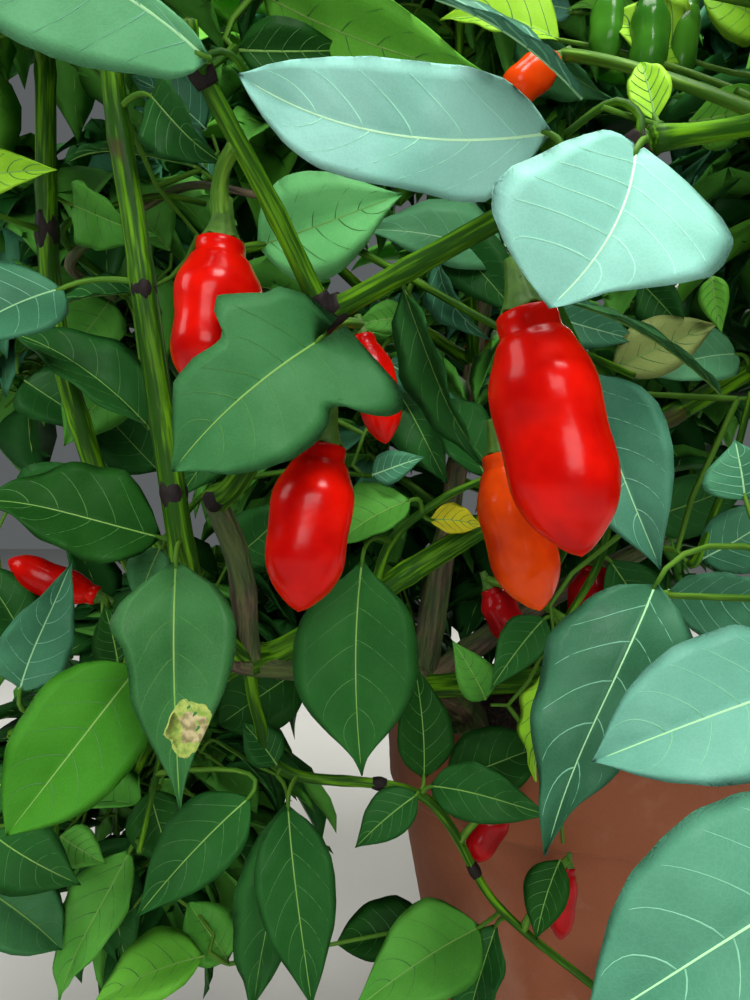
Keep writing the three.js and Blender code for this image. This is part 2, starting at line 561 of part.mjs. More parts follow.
// Solids that stand already, with their boxes, for the test that nothing touches
const standing = [];
const boxed = (solid) => ({ solid, box: solid.boundingBox() });
function stands(solid) {
  standing.push(boxed(solid));
}
function clearOf(others, solid) {
  const own = solid.boundingBox();
  return others.every(({ solid: other, box }) => {
    const far = [0, 1, 2].some((k) => own.min[k] > box.max[k] + APART || own.max[k] < box.min[k] - APART);
    return far || solid.minGap(other, 2 * APART) >= APART;
  });
}
const clearOfAll = (solid) => clearOf(standing, solid);

const largestOf = (solid) => solid.decompose().reduce((a, b) => (b.volume() > a.volume() ? b : a));

const plant = new THREE.Group();
function addMesh(name, geometry, colour, roughness) {
  const material = new THREE.MeshStandardMaterial({ color: colour, roughness, metalness: 0 });
  const mesh = new THREE.Mesh(geometry, material);
  mesh.name = name;
  plant.add(mesh);
}

function addPot() {
  const bodyRadius = RIM_RADIUS - RIM_STEP;
  const bandFoot = POT_HEIGHT - RIM_BAND;
  const outline = [[0, 0], [FOOT_RADIUS, 0], [bodyRadius, bandFoot], [RIM_RADIUS - 2, bandFoot + 2],
    [RIM_RADIUS, POT_HEIGHT - 5], [RIM_RADIUS - 5, POT_HEIGHT], [RIM_RADIUS - RIM_STEP - WALL, POT_HEIGHT],
    [bodyRadius - WALL, bandFoot], [FOOT_RADIUS - WALL, FLOOR], [0, FLOOR]];
  const profile = outline.map(([x, y]) => new THREE.Vector2(x, y));
  const pot = new THREE.LatheGeometry(profile, POT_SIDES);
  pot.rotateX(Math.PI / 2);
  addMesh('pot', geometryOf(solidOf(pot)), 0xb5623c, 0.75);
  stands(solidOf(pot));
  const slope = (bodyRadius - FOOT_RADIUS) / bandFoot;
  const inner = (z) => FOOT_RADIUS - WALL - CLEAR * 1.5 + slope * (z - FLOOR);
  const soilOutline = [[0, FLOOR + CLEAR], [inner(FLOOR), FLOOR + CLEAR],
    [inner(bandFoot), bandFoot], [inner(bandFoot) - 1, SOIL_TOP], [0, SOIL_TOP]];
  const soil = new THREE.LatheGeometry(soilOutline.map(([x, y]) => new THREE.Vector2(x, y)), POT_SIDES);
  soil.rotateX(Math.PI / 2);
  addMesh('soil', geometryOf(solidOf(soil)), 0x3b2a20, 0.95);
  stands(solidOf(soil));
}

const fatLimbs = [];
function addLimb([name, points, fromRadius, toRadius]) {
  const flare = name === 'trunk' ? TRUNK_FLARE : 0;
  const radiusAt = (share) => THREE.MathUtils.lerp(fromRadius, toRadius, share)
    * (1 + flare * Math.exp(-share / FLARE_REACH));
  const sides = name === 'trunk' ? TRUNK_SIDES : LIMB_SIDES;
  let solid = bent(points, radiusAt, sides);
  if (fatLimbs.length) solid = largestOf(solid.subtract(Manifold.union(fatLimbs)));
  fatLimbs.push(bent(points, radiusAt, sides, CLEAR));
  stands(solid);
  addMesh(name, geometryOf(solid), name === 'trunk' ? 0x6d6a45 : 0x4f6b34, 0.7);
}

function addMass(mass) {
  const wood = [{ path: mass.stem, radii: mass.radii }, ...(mass.arms ?? [])];
  const sides = mass.leaves ? STEM_SIDES : PLAIN_STEM_SIDES;
  const woodOf = (grow) => Manifold.union(wood.map(({ path, radii: [from, to] }) => bent(
    path, (share) => THREE.MathUtils.lerp(from, to, share), sides, grow)));
  const kept = [largestOf(woodOf(0).subtract(Manifold.union(fatLimbs)))];
  fatLimbs.push(woodOf(CLEAR));
  const keep = (solids) => solids.every(clearOfAll) && kept.push(...solids);
  const named = namedParts(mass);
  named.leaves.forEach((leaf) => keep([leafSolid(leaf)]));
  named.pods.forEach((pod) => keep(podSolids(pod)));
  if (mass.twigs) addGrown(mass, kept, keep);
  const solid = largestOf(Manifold.union(kept)).simplify(FINEST);
  stands(solid);
  addMesh(mass.name, geometryOf(solid), 0x3f7d3a, 0.6);
}

// The random part of a mass. A twig or leaf that would touch another piece, or a leaf of its own
// mass, is left out, and so is a twig with no leaf.
function addGrown(mass, kept, keep) {
  const { twigs, pod } = grown(mass);
  const ownLeaves = [];
  const free = (solid) => clearOfAll(solid) && clearOf(ownLeaves, solid);
  twigs.forEach(({ from, to, leaves }, i) => {
    const twig = stick(from, to, TWIG_RADIUS, TWIG_TIP);
    if (!free(twig)) return;
    const before = kept.length;
    leaves.filter((leaf) => inSpace(mass, leaf.base) && inSpace(mass, leaf.tip)).forEach((leaf) => {
      const blade = plainLeafSolid(leaf);
      if (!free(blade)) return;
      ownLeaves.push(boxed(blade));
      kept.push(blade);
    });
    if (kept.length === before) return;
    kept.push(twig);
    const fruit = i === POD_TWIG && mass.twigs > POD_FROM && inSpace(mass, pod.tip) ? podSolids(pod) : [];
    if (fruit.every((solid) => clearOf(ownLeaves, solid))) keep(fruit);
  });
}

addPot();
LIMBS.forEach(addLimb);
MASSES.forEach(addMass);

export default plant;
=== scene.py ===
# A chilli pepper plant in a terracotta pot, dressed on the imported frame.
# Sizes are in millimetres until a mesh is made. The origin is the middle of the pot's flat
# underside, +Z is up and the open front of the crown faces -Y.
import json
import math

import bpy
import numpy as np
from mathutils import Matrix, Vector, noise

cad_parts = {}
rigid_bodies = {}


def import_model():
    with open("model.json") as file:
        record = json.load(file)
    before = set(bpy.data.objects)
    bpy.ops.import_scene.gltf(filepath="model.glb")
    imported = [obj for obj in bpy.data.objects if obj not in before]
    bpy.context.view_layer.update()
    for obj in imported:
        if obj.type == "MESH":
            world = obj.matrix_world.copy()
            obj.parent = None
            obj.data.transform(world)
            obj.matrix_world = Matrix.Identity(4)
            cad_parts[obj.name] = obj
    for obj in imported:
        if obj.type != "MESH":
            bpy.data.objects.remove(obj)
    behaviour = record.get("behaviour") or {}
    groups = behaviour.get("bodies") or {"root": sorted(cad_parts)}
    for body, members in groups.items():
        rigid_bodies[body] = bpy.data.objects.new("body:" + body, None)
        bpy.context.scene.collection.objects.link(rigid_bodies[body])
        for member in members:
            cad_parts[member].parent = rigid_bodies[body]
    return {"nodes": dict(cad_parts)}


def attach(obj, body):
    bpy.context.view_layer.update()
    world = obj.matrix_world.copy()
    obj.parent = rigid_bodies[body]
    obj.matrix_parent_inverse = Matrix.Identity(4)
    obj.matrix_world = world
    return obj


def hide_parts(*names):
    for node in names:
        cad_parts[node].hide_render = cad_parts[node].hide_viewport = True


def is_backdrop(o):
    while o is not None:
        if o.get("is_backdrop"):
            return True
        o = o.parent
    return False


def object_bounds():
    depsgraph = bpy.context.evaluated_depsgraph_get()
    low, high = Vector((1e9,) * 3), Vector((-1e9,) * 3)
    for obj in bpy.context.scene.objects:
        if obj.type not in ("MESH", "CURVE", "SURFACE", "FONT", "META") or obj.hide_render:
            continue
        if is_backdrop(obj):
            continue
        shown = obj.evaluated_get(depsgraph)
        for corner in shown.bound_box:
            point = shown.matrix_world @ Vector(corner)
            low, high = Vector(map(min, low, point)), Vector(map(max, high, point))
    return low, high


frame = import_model()
CAD_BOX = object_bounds()
FOLIAGE_NODES = sorted(name for name in frame["nodes"] if name.startswith("foliage"))
BOUGH_NODES = sorted(name for name in frame["nodes"] if name.startswith("bough"))

MM = 0.001
GOLDEN = math.pi * (3 - math.sqrt(5))


def v(x, y, z):
    return np.array([x, y, z], float)


UP = v(0, 0, 1)
SIDE = v(1, 0, 0)

# Pot and soil
POT_HEIGHT = 270
RIM_RADIUS = 150
RIM_BAND = 58
RIM_STEP = 8
BODY_RADIUS = RIM_RADIUS - RIM_STEP
BAND_FOOT = POT_HEIGHT - RIM_BAND
FOOT_RADIUS = 104
POT_WALL = 8
POT_FLOOR = 12
SOIL_TOP = 245
CLEAR = 0.3

# The crown is looked into from the eye. A place there is given by picture point and depth.
EYE = v(-160, -600, 430)
FOCAL = 752
MIDDLE_ACROSS = 375
MIDDLE_DOWN = 500
PICTURE_HEIGHT = 1000
OPEN_DEPTH = 430
OPEN_WIDTH = 0.53
OPEN_HEIGHT = 0.7
LOWEST = 30


def seen(across, down, depth):
    """The place that shows at a point of the picture, at a depth from the eye."""
    return v(
        EYE[0] + (across - MIDDLE_ACROSS) * depth / FOCAL,
        EYE[1] + depth,
        EYE[2] - (down - MIDDLE_DOWN) * depth / FOCAL,
    )


# Forks of the limbs
TRUNK_FOOT = v(-95, -45, SOIL_TOP + CLEAR)
TRUNK_FORK = v(-128, -84, 302)
LEFT_FORK = seen(248, 660, 420)
LEFT_NODE = seen(215, 500, 370)
FRONT_FORK = seen(325, 315, 320)
LEFT_ARM_NODE = seen(200, 68, 270)
RIGHT_ARM_NODE = seen(650, 140, 240)
CENTRE_FORK = v(-80, 10, 540)
RIGHT_FORK = v(90, -20, 420)
BACK_FORK = v(-80, 140, 450)

# Limbs: name, places along the axis, radius at the start and at the end, bark or green skin
LIMBS = [
    ("trunk", [TRUNK_FOOT, v(-95, -45, 268), v(-106, -60, 288), TRUNK_FORK, v(-136, -91, 306)],
     15, 12.5, "bark"),
    ("bough_left_low", [TRUNK_FORK, v(-180, -135, 325), LEFT_FORK, seen(238, 654, 414)], 10.5, 8.5, "bark"),
    ("bough_centre", [TRUNK_FORK, v(-104, -36, 420), CENTRE_FORK, v(-60, 20, 640)], 9.5, 6, "bark"),
    ("bough_right", [TRUNK_FORK, v(-45, -45, 350), RIGHT_FORK, v(190, -10, 520)], 9, 5.5, "bark"),
    ("bough_back", [TRUNK_FORK, v(-112, 20, 365), BACK_FORK, v(-60, 210, 540)], 8.5, 5, "bark"),
    ("bough_right_front", [TRUNK_FORK, v(-75, -150, 322), v(5, -245, 350), v(60, -300, 395)], 8, 5, "green"),
    ("bough_left_rise", [LEFT_FORK, seen(241, 572, 392), LEFT_NODE], 7, 6, "bark"),
    ("bough_across", [LEFT_FORK, seen(300, 640, 432), seen(485, 525, 440), seen(745, 373, 455)],
     7.2, 6, "green"),
    ("bough_left", [LEFT_FORK, v(-318, -112, 425), v(-372, -45, 520)], 6.5, 5, "green"),
    ("bough_upper_right", [CENTRE_FORK, v(30, 30, 640), v(105, 35, 700)], 5.5, 4.5, "green"),
    ("bough_upper_left", [CENTRE_FORK, v(-170, 60, 615), v(-230, 85, 680)], 5.5, 4.5, "green"),
    ("bough_upper_front", [CENTRE_FORK, v(-95, -70, 640), v(-105, -110, 690)], 5, 4, "green"),
    ("bough_low_right", [RIGHT_FORK, v(150, -75, 425), v(205, -110, 440)], 5, 4, "green"),
    ("bough_right_back", [RIGHT_FORK, v(130, 80, 465), v(165, 140, 510)], 5.5, 4.5, "green"),
    ("bough_back_left", [BACK_FORK, v(-160, 165, 480), v(-230, 180, 520)], 5, 4, "green"),
    ("bough_back_low", [BACK_FORK, v(-10, 185, 430), v(50, 205, 440)], 5, 4, "green"),
]
TRUNK_FLARE = 0.75
FLARE_REACH = 0.16

# The masses of foliage. stem is the stem that joins the limb, and arms are its named side stems.
# centre and size give the space that the random twigs keep to.
# leaves: base of the blade, tip, width, turn about the midrib in degrees, colour, form.
# pods: top, tip, largest radius, colour, and for one the place where its stalk starts and its bend.
MASSES = [
    {
        "name": "foliage_front", "stem": [LEFT_NODE, seen(245, 470, 350), FRONT_FORK], "radii": (5.6, 5),
        "arms": [
            ([FRONT_FORK, seen(272, 205, 298), LEFT_ARM_NODE, seen(188, 20, 262)], (4.4, 3.2)),
            ([FRONT_FORK, seen(420, 262, 296), seen(505, 215, 272), RIGHT_ARM_NODE], (4.6, 4)),
            ([seen(505, 215, 272), seen(545, 285, 305), seen(588, 366, 340)], (3, 1.8)),
        ],
        "leaves": [
            (seen(203, 56, 255), seen(-95, -60, 225), 46, 0, "pale", "turned"),
            (seen(550, 133, 258), seen(238, 74, 272), 42, -8, "haze", "hanging"),
            (seen(318, 341, 305), seen(172, 472, 283), 62, 0, "moss", "lobed"),
            (seen(636, 150, 230), seen(549, 308, 222), 64, -22, "haze", "swept"),
            (seen(590, 374, 345), seen(661, 570, 335), 50, 8, "mist", "plain"),
        ],
        "pods": [
            (seen(221, 240, 308), seen(206, 396, 306), 18.5, "red",
             seen(240, 140, 290), seen(212, 170, 306)),
            (seen(325, 444, 328), seen(298, 612, 322), 18, "red"),
            (seen(525, 310, 252), seen(582, 557, 246), 19, "red"),
            (seen(500, 452, 338), seen(540, 611, 334), 16, "orange"),
            (seen(362, 335, 378), seen(386, 444, 374), 11, "red"),
        ],
    },
    {
        "name": "foliage_front_left",
        "stem": [LEFT_FORK, seen(205, 615, 385), seen(184, 555, 342), seen(160, 400, 332),
                 seen(135, 230, 326), seen(112, 80, 330), seen(98, -110, 336)],
        "radii": (6.4, 4.6),
        "leaves": [
            (seen(176, 562, 322), seen(180, 812, 300), 50, 0, "sage", "notched"),
            (seen(160, 537, 350), seen(-25, 500, 330), 46, 12, "dark", "wavy"),
            (seen(150, 428, 352), seen(2, 330, 350), 44, 35, "mid", "plain"),
            (seen(62, 288, 318), seen(-60, 352, 290), 42, 25, "blue", "flat"),
            (seen(150, 95, 320), seen(225, 165, 310), 30, 40, "mid", "wavy"),
        ],
        "centre": v(-285, -285, 735), "size": v(105, 95, 115), "twigs": 4, "bare": 0.8, "seed": 11,
    },
    {
        "name": "foliage_far_left",
        "stem": [LEFT_FORK, seen(150, 590, 418), seen(82, 430, 405), seen(50, 280, 400),
                 seen(45, 60, 400), seen(40, -70, 405)],
        "radii": (6.2, 4.8),
        "leaves": [
            (seen(-40, 178, 330), seen(58, 170, 325), 20, 0, "lime", "plain"),
            (seen(72, 205, 420), seen(160, 235, 400), 34, 40, "fresh", "wavy"),
        ],
        "centre": v(-360, -185, 735), "size": v(110, 90, 120), "twigs": 4, "bare": 0.74, "seed": 23,
    },
    {
        "name": "foliage_low_left",
        "stem": [LEFT_FORK, seen(180, 672, 425), seen(90, 700, 420), seen(10, 735, 415)],
        "radii": (4.2, 2.6),
        "arms": [
            ([seen(180, 672, 425), seen(160, 760, 410), seen(140, 850, 400)], (2.4, 1.5)),
            ([seen(90, 700, 420), seen(60, 800, 410), seen(55, 880, 400)], (2.4, 1.5)),
        ],
        "leaves": [
            (seen(138, 667, 335), seen(6, 836, 300), 50, 0, "grass", "broad"),
            (seen(20, 690, 380), seen(72, 560, 374), 34, 10, "blue", "wavy"),
            (seen(250, 797, 384), seen(136, 918, 362), 38, 0, "mid", "plain"),
            (seen(-22, 884, 398), seen(62, 950, 394), 40, 0, "moss", "broad"),
            (seen(130, 850, 420), seen(60, 1000, 400), 36, 20, "fresh", "wavy"),
            (seen(20, 770, 430), seen(-60, 850, 410), 36, 20, "mid", "plain"),
        ],
        "pods": [(seen(98, 596, 452), seen(8, 560, 448), 11, "red")],
    },
    {
        "name": "foliage_low_front",
        "stem": [LEFT_FORK, seen(258, 715, 426), seen(287, 772, 428), seen(423, 797, 430),
                 seen(497, 905, 428), seen(600, 992, 420)],
        "radii": (3.6, 2.2),
        "leaves": [
            (seen(418, 794, 426), seen(355, 848, 424), 26, 0, "mid", "plain"),
            (seen(424, 778, 440), seen(414, 662, 452), 34, 10, "dark", "plain"),
            (seen(430, 786, 428), seen(552, 816, 408), 31, 10, "mid", "wavy"),
            (seen(446, 782, 462), seen(556, 742, 470), 44, 0, "dark", "plain"),
            (seen(480, 927, 434), seen(352, 1012, 402), 50, 0, "fresh", "plain"),
            (seen(496, 925, 436), seen(470, 1040, 430), 36, 30, "mid", "wavy"),
            (seen(288, 806, 412), seen(312, 1008, 392), 42, 0, "mid", "plain"),
            (seen(604, 990, 414), seen(700, 1060, 400), 40, 0, "mid", "plain"),
        ],
        "pods": [
            (seen(505, 806, 442), seen(470, 862, 438), 10, "deep"),
            (seen(568, 866, 435), seen(560, 940, 433), 8, "deep"),
        ],
    },
    {
        "name": "foliage_middle",
        "stem": [seen(372, 596, 438), seen(392, 540, 420), seen(440, 500, 415), seen(486, 478, 418)],
        "radii": (3.2, 1.8),
        "leaves": [
            (seen(362, 562, 382), seen(362, 776, 360), 60, 0, "mid", "round"),
            (seen(486, 476, 420), seen(430, 388, 440), 34, 20, "mid", "wavy"),
            (seen(430, 520, 425), seen(482, 526, 430), 18, 0, "yellow", "wavy"),
            (seen(410, 500, 400), seen(330, 552, 395), 40, 30, "fresh", "plain"),
        ],
    },
    {
        "name": "foliage_under",
        "stem": [seen(585, 466, 442), seen(606, 500, 446), seen(600, 560, 440), seen(560, 630, 430)],
        "radii": (3.2, 1.8),
        "leaves": [
            (seen(566, 668, 400), seen(536, 782, 385), 30, 50, "lime", "wavy"),
            (seen(545, 618, 420), seen(490, 690, 405), 26, 0, "mid", "plain"),
            (seen(610, 560, 440), seen(665, 640, 450), 34, 0, "mid", "plain"),
        ],
        "pods": [
            (seen(594, 566, 470), seen(588, 644, 466), 15, "deep"),
            (seen(490, 588, 480), seen(515, 642, 476), 12, "deep"),
        ],
    },
    {
        "name": "foliage_right_front", "stem": [v(60, -300, 395), v(78, -330, 430), v(95, -345, 480)],
        "radii": (4.6, 3),
        "arms": [
            ([v(77, -328, 428), v(40, -352, 415), v(8, -366, 398)], (2.8, 1.8)),
            ([v(68, -314, 410), v(45, -340, 360), v(12, -388, 322)], (2.6, 1.6)),
        ],
        "leaves": [
            (seen(655, 585, 300), seen(546, 856, 272), 50, 12, "teal", "wavy"),
            (seen(826, 676, 242), seen(592, 762, 236), 46, 0, "sky", "broad"),
            (seen(880, 846, 205), seen(584, 1030, 192), 54, 0, "mist", "broad"),
            (seen(668, 592, 318), seen(800, 590, 300), 36, 50, "blue", "plain"),
            (seen(720, 900, 290), seen(640, 1010, 285), 40, 0, "blue", "plain"),
            (seen(745, 500, 300), seen(735, 440, 300), 30, 0, "blue", "plain"),
        ],
        "centre": v(110, -335, 470), "size": v(105, 80, 120), "twigs": 4, "bare": 0.2, "seed": 37,
    },
    {
        "name": "foliage_right_high",
        "stem": [RIGHT_ARM_NODE, seen(750, 125, 250), seen(860, 95, 272), v(60, -325, 640)],
        "radii": (3.8, 2.6),
        "leaves": [
            (seen(655, 120, 250), seen(640, 62, 262), 14, 0, "lime", "plain"),
            (seen(690, 60, 330), seen(600, 20, 330), 34, 30, "lime", "plain"),
            (seen(560, 40, 340), seen(440, 20, 350), 36, 40, "lime", "plain"),
        ],
        "pods": [
            (seen(612, -12, 332), seen(605, 66, 330), 7.5, "green"),
            (seen(650, -8, 322), seen(645, 84, 320), 8.5, "green"),
            (seen(692, 0, 330), seen(680, 88, 328), 6, "green"),
            (seen(556, 60, 335), seen(502, 102, 332), 9, "orange"),
        ],
        "centre": v(70, -320, 640), "size": v(105, 90, 105), "twigs": 4, "bare": 0.35, "seed": 41,
    },
    {
        "name": "foliage_across", "stem": [seen(745, 373, 455), v(110, -165, 560), v(140, -175, 620)],
        "radii": (5, 3),
        "leaves": [(seen(737, 354, 440), seen(632, 380, 420), 36, 0, "pale", "plain")],
        "centre": v(130, -175, 610), "size": v(120, 100, 110), "twigs": 5, "bare": 0.1, "seed": 53,
    },
]
# The masses with no leaf at a named place: name, stem, its radii, centre and size of the twigs'
# space, number of twigs, the bare share of the stem and the seed of the dice.
PLAIN_MASSES = [
    ("foliage_inner_left", [v(-106, -34, 420), v(-160, -20, 462), v(-215, -5, 505)], (3.4, 2.2),
     v(-205, -10, 490), v(105, 100, 105), 4, 0.2, 113),
    ("foliage_inner_right", [v(-44, -46, 351), v(-8, -60, 425), v(20, -70, 500)], (3.2, 2.2),
     v(15, -65, 505), v(95, 90, 95), 4, 0.3, 127),
    ("foliage_inner_low", [v(-112, 22, 366), v(-155, 50, 378), v(-200, 75, 385)], (3.2, 2.2),
     v(-200, 75, 380), v(105, 100, 95), 4, 0.2, 131),
    ("foliage_low_back_left", [LEFT_FORK, v(-280, -85, 332), v(-325, 15, 310)], (3.6, 2.2),
     v(-335, 55, 300), v(125, 115, 115), 4, 0.2, 137),
    ("foliage_hanging_left", [LEFT_FORK, v(-290, -140, 290), v(-330, -95, 225)], (3.4, 2.2),
     v(-330, -75, 205), v(120, 110, 105), 4, 0.2, 139),
    ("foliage_low_middle", [v(-97, 85, 412), v(-150, 125, 345), v(-195, 155, 300)], (3.2, 2.2),
     v(-205, 165, 290), v(115, 105, 100), 4, 0.3, 149),
    ("foliage_over_pot", [v(-10, 185, 430), v(5, 150, 380), v(10, 115, 345)], (3, 2),
     v(10, 105, 345), v(110, 95, 80), 4, 0.2, 151),
    ("foliage_top", [v(-60, 20, 640), v(-48, 18, 740), v(-40, 10, 830)], (5, 2.6),
     v(-45, 15, 800), v(140, 130, 135), 5, 0.1, 61),
    ("foliage_top_right", [v(105, 35, 700), v(135, 35, 760), v(155, 30, 810)], (3.8, 2.4),
     v(160, 35, 780), v(125, 125, 125), 5, 0.1, 67),
    ("foliage_top_left", [v(-230, 85, 680), v(-255, 95, 735), v(-270, 100, 790)], (3.8, 2.4),
     v(-265, 95, 755), v(125, 125, 125), 5, 0.1, 71),
    ("foliage_top_front", [v(-105, -110, 690), v(-108, -140, 750), v(-110, -165, 800)], (3.4, 2.2),
     v(-112, -150, 770), v(125, 110, 110), 5, 0.1, 73),
    ("foliage_right", [v(190, -10, 520), v(235, -5, 570), v(265, 0, 630)], (4.6, 2.6),
     v(265, -5, 600), v(125, 120, 125), 5, 0.1, 86),
    ("foliage_low_right", [v(205, -110, 440), v(240, -130, 440), v(280, -145, 450)], (3.4, 2.2),
     v(250, -140, 430), v(115, 110, 110), 5, 0.1, 83),
    ("foliage_right_back", [v(165, 140, 510), v(195, 180, 555), v(215, 205, 605)], (3.8, 2.4),
     v(200, 190, 570), v(120, 120, 125), 5, 0.1, 89),
    ("foliage_back", [v(-60, 210, 540), v(-55, 245, 600), v(-50, 265, 665)], (4.2, 2.4),
     v(-55, 250, 620), v(130, 115, 130), 5, 0.1, 97),
    ("foliage_back_left", [v(-230, 180, 520), v(-275, 190, 550), v(-310, 195, 590)], (3.4, 2.2),
     v(-285, 190, 565), v(120, 115, 120), 5, 0.1, 101),
    ("foliage_back_low", [v(50, 205, 440), v(85, 220, 430), v(120, 230, 420)], (3.4, 2.2),
     v(90, 225, 410), v(125, 110, 105), 5, 0.1, 103),
    ("foliage_left", [v(-372, -45, 520), v(-395, -25, 570), v(-410, -10, 620)], (4.2, 2.4),
     v(-395, -20, 590), v(115, 130, 130), 5, 0.1, 107),
]
MASS_WORDS = ("name", "stem", "radii", "centre", "size", "twigs", "bare", "seed")
MASSES += [dict(zip(MASS_WORDS, row)) for row in PLAIN_MASSES]

# Leaves that show between the front ones: base of the blade, tip, width, turn, colour and form.
# Each hangs on the nearest twig.
SEEN_BEHIND = [
    (seen(258, 246, 402), seen(403, 194, 395), 54, 10, "spring", "plain"),
    (seen(505, 258, 432), seen(360, 230, 424), 42, 15, "pale", "plain"),
    (seen(262, -6, 312), seen(497, 79, 296), 44, 30, "bright", "flat"),
    (seen(238, 50, 300), seen(348, 50, 310), 24, 10, "dark", "flat"),
    (seen(583, 97, 240), seen(418, -8, 226), 30, 74, "mist", "flat"),
    (seen(515, 26, 420), seen(614, 99, 404), 34, 45, "moss", "slim"),
    (seen(572, 10, 430), seen(512, 8, 424), 22, 20, "sky", "flat"),
    (seen(642, 12, 420), seen(566, 9, 418), 20, 45, "bright", "flat"),
    (seen(690, 122, 300), seen(772, 96, 300), 26, 45, "bright", "flat"),
    (seen(770, 26, 382), seen(700, -8, 378), 40, 20, "lime", "broad"),
    (seen(722, 394, 336), seen(560, 300, 330), 30, 72, "moss", "flat"),
    (seen(612, 368, 404), seen(718, 324, 400), 32, 0, "olive", "plain"),
    (seen(545, 314, 404), seen(638, 341, 400), 25, 10, "blue", "plain"),
    (seen(640, 282, 404), seen(688, 330, 402), 26, 30, "mid", "slim"),
    (seen(712, 276, 384), seen(722, 333, 380), 15, 10, "bright", "flat"),
    (seen(700, 560, 352), seen(796, 500, 340), 30, 20, "blue", "plain"),
    (seen(640, 520, 420), seen(752, 478, 412), 34, 20, "mid", "plain"),
    (seen(410, 318, 434), seen(352, 326, 430), 20, 0, "fresh", "plain"),
    (seen(386, 362, 430), seen(456, 399, 424), 20, 10, "blue", "flat"),
    (seen(402, 286, 400), seen(492, 470, 388), 32, 50, "mid", "slim"),
    (seen(394, 386, 440), seen(448, 484, 432), 36, 10, "mid", "wavy"),
    (seen(372, 475, 402), seen(425, 457, 396), 18, 0, "blue", "plain"),
    (seen(438, 258, 412), seen(491, 340, 404), 24, 45, "blue", "cupped"),
    (seen(450, 236, 430), seen(520, 318, 424), 36, 0, "mid", "plain"),
    (seen(206, 129, 404), seen(130, 76, 396), 36, 20, "blue", "plain"),
    (seen(216, 180, 392), seen(134, 108, 386), 22, 50, "blue", "slim"),
    (seen(142, 292, 372), seen(56, 310, 362), 22, 50, "mid", "slim"),
    (seen(196, 166, 384), seen(64, 163, 390), 26, 60, "mid", "slim"),
    (seen(118, 664, 404), seen(104, 604, 398), 24, 0, "dark", "plain"),
    (seen(160, 548, 372), seen(137, 606, 368), 22, 0, "moss", "plain"),
    (seen(-8, 834, 384), seen(81, 885, 378), 36, 15, "mid", "pointed"),
    (seen(60, 836, 402), seen(106, 864, 400), 22, 10, "fresh", "plain"),
    (seen(277, 765, 424), seen(242, 722, 430), 24, 0, "mid", "plain"),
    (seen(302, 668, 462), seen(218, 726, 456), 48, 0, "dark", "broad"),
    (seen(288, 800, 428), seen(254, 1010, 420), 38, 15, "mid", "slim"),
    (seen(204, 956, 424), seen(94, 1004, 418), 40, 15, "bright", "plain"),
    (seen(228, 960, 440), seen(188, 902, 446), 32, 0, "fresh", "broad"),
    (seen(428, 926, 474), seen(336, 944, 470), 38, 10, "dark", "broad"),
    (seen(150, 790, 430), seen(176, 872, 424), 34, 10, "dark", "plain"),
    (seen(24, 640, 440), seen(-30, 560, 440), 36, 10, "mid", "plain"),
    (seen(20, 500, 440), seen(118, 470, 430), 38, 20, "mid", "plain"),
    (seen(132, 372, 452), seen(64, 446, 446), 44, 10, "fresh", "plain"),
    (seen(158, 470, 500), seen(84, 398, 490), 50, 10, "mid", "wavy"),
    (seen(24, 380, 470), seen(104, 436, 460), 40, 0, "mid", "plain"),
    (seen(110, 300, 480), seen(60, 372, 470), 44, 10, "fresh", "wavy"),
    (seen(232, 560, 470), seen(300, 500, 462), 40, 10, "mid", "plain"),
    (seen(76, 200, 500), seen(20, 262, 490), 44, 10, "mid", "plain"),
    (seen(170, 250, 480), seen(108, 180, 476), 40, 15, "fresh", "slim"),
    (seen(246, 420, 430), seen(178, 500, 424), 34, 10, "mid", "plain"),
    (seen(560, 640, 420), seen(640, 700, 410), 36, 10, "mid", "plain"),
    (seen(486, 700, 440), seen(452, 640, 436), 24, 0, "fresh", "plain"),
    (seen(560, 860, 424), seen(536, 940, 416), 26, 10, "dark", "plain"),
]
# Shoots that show behind: places, radius at the start and at the end, bark or green skin.
# Each starts on the nearest wood.
SHOOTS_BEHIND = [
    ([seen(322, 238, 404), seen(395, 270, 396), seen(505, 330, 390), seen(578, 351, 392),
      seen(634, 376, 398)], (2.3, 1.7), "green"),
    ([seen(70, 264, 440), seen(120, 222, 444), seen(190, 186, 452), seen(262, 196, 458)],
     (3.4, 2.2), "bark"),
    ([seen(62, 236, 430), seen(104, 210, 436), seen(160, 196, 444), seen(206, 204, 452)],
     (2.6, 1.8), "green"),
    ([seen(697, 560, 350), seen(712, 518, 344), seen(733, 464, 338), seen(752, 392, 334)],
     (1.8, 1.5), "green"),
    ([seen(212, 490, 400), seen(300, 470, 410), seen(372, 476, 404)], (1.9, 1.3), "green"),
    ([seen(203, 72, 268), seen(208, 57, 266), seen(219, 51, 266), seen(233, 56, 268), seen(250, 78, 276)],
     (1.5, 1.2), "green"),
    ([seen(641, 138, 238), seen(640, 116, 240), seen(621, 102, 243), seen(600, 108, 247),
      seen(566, 134, 256)], (1.5, 1.3), "green"),
]

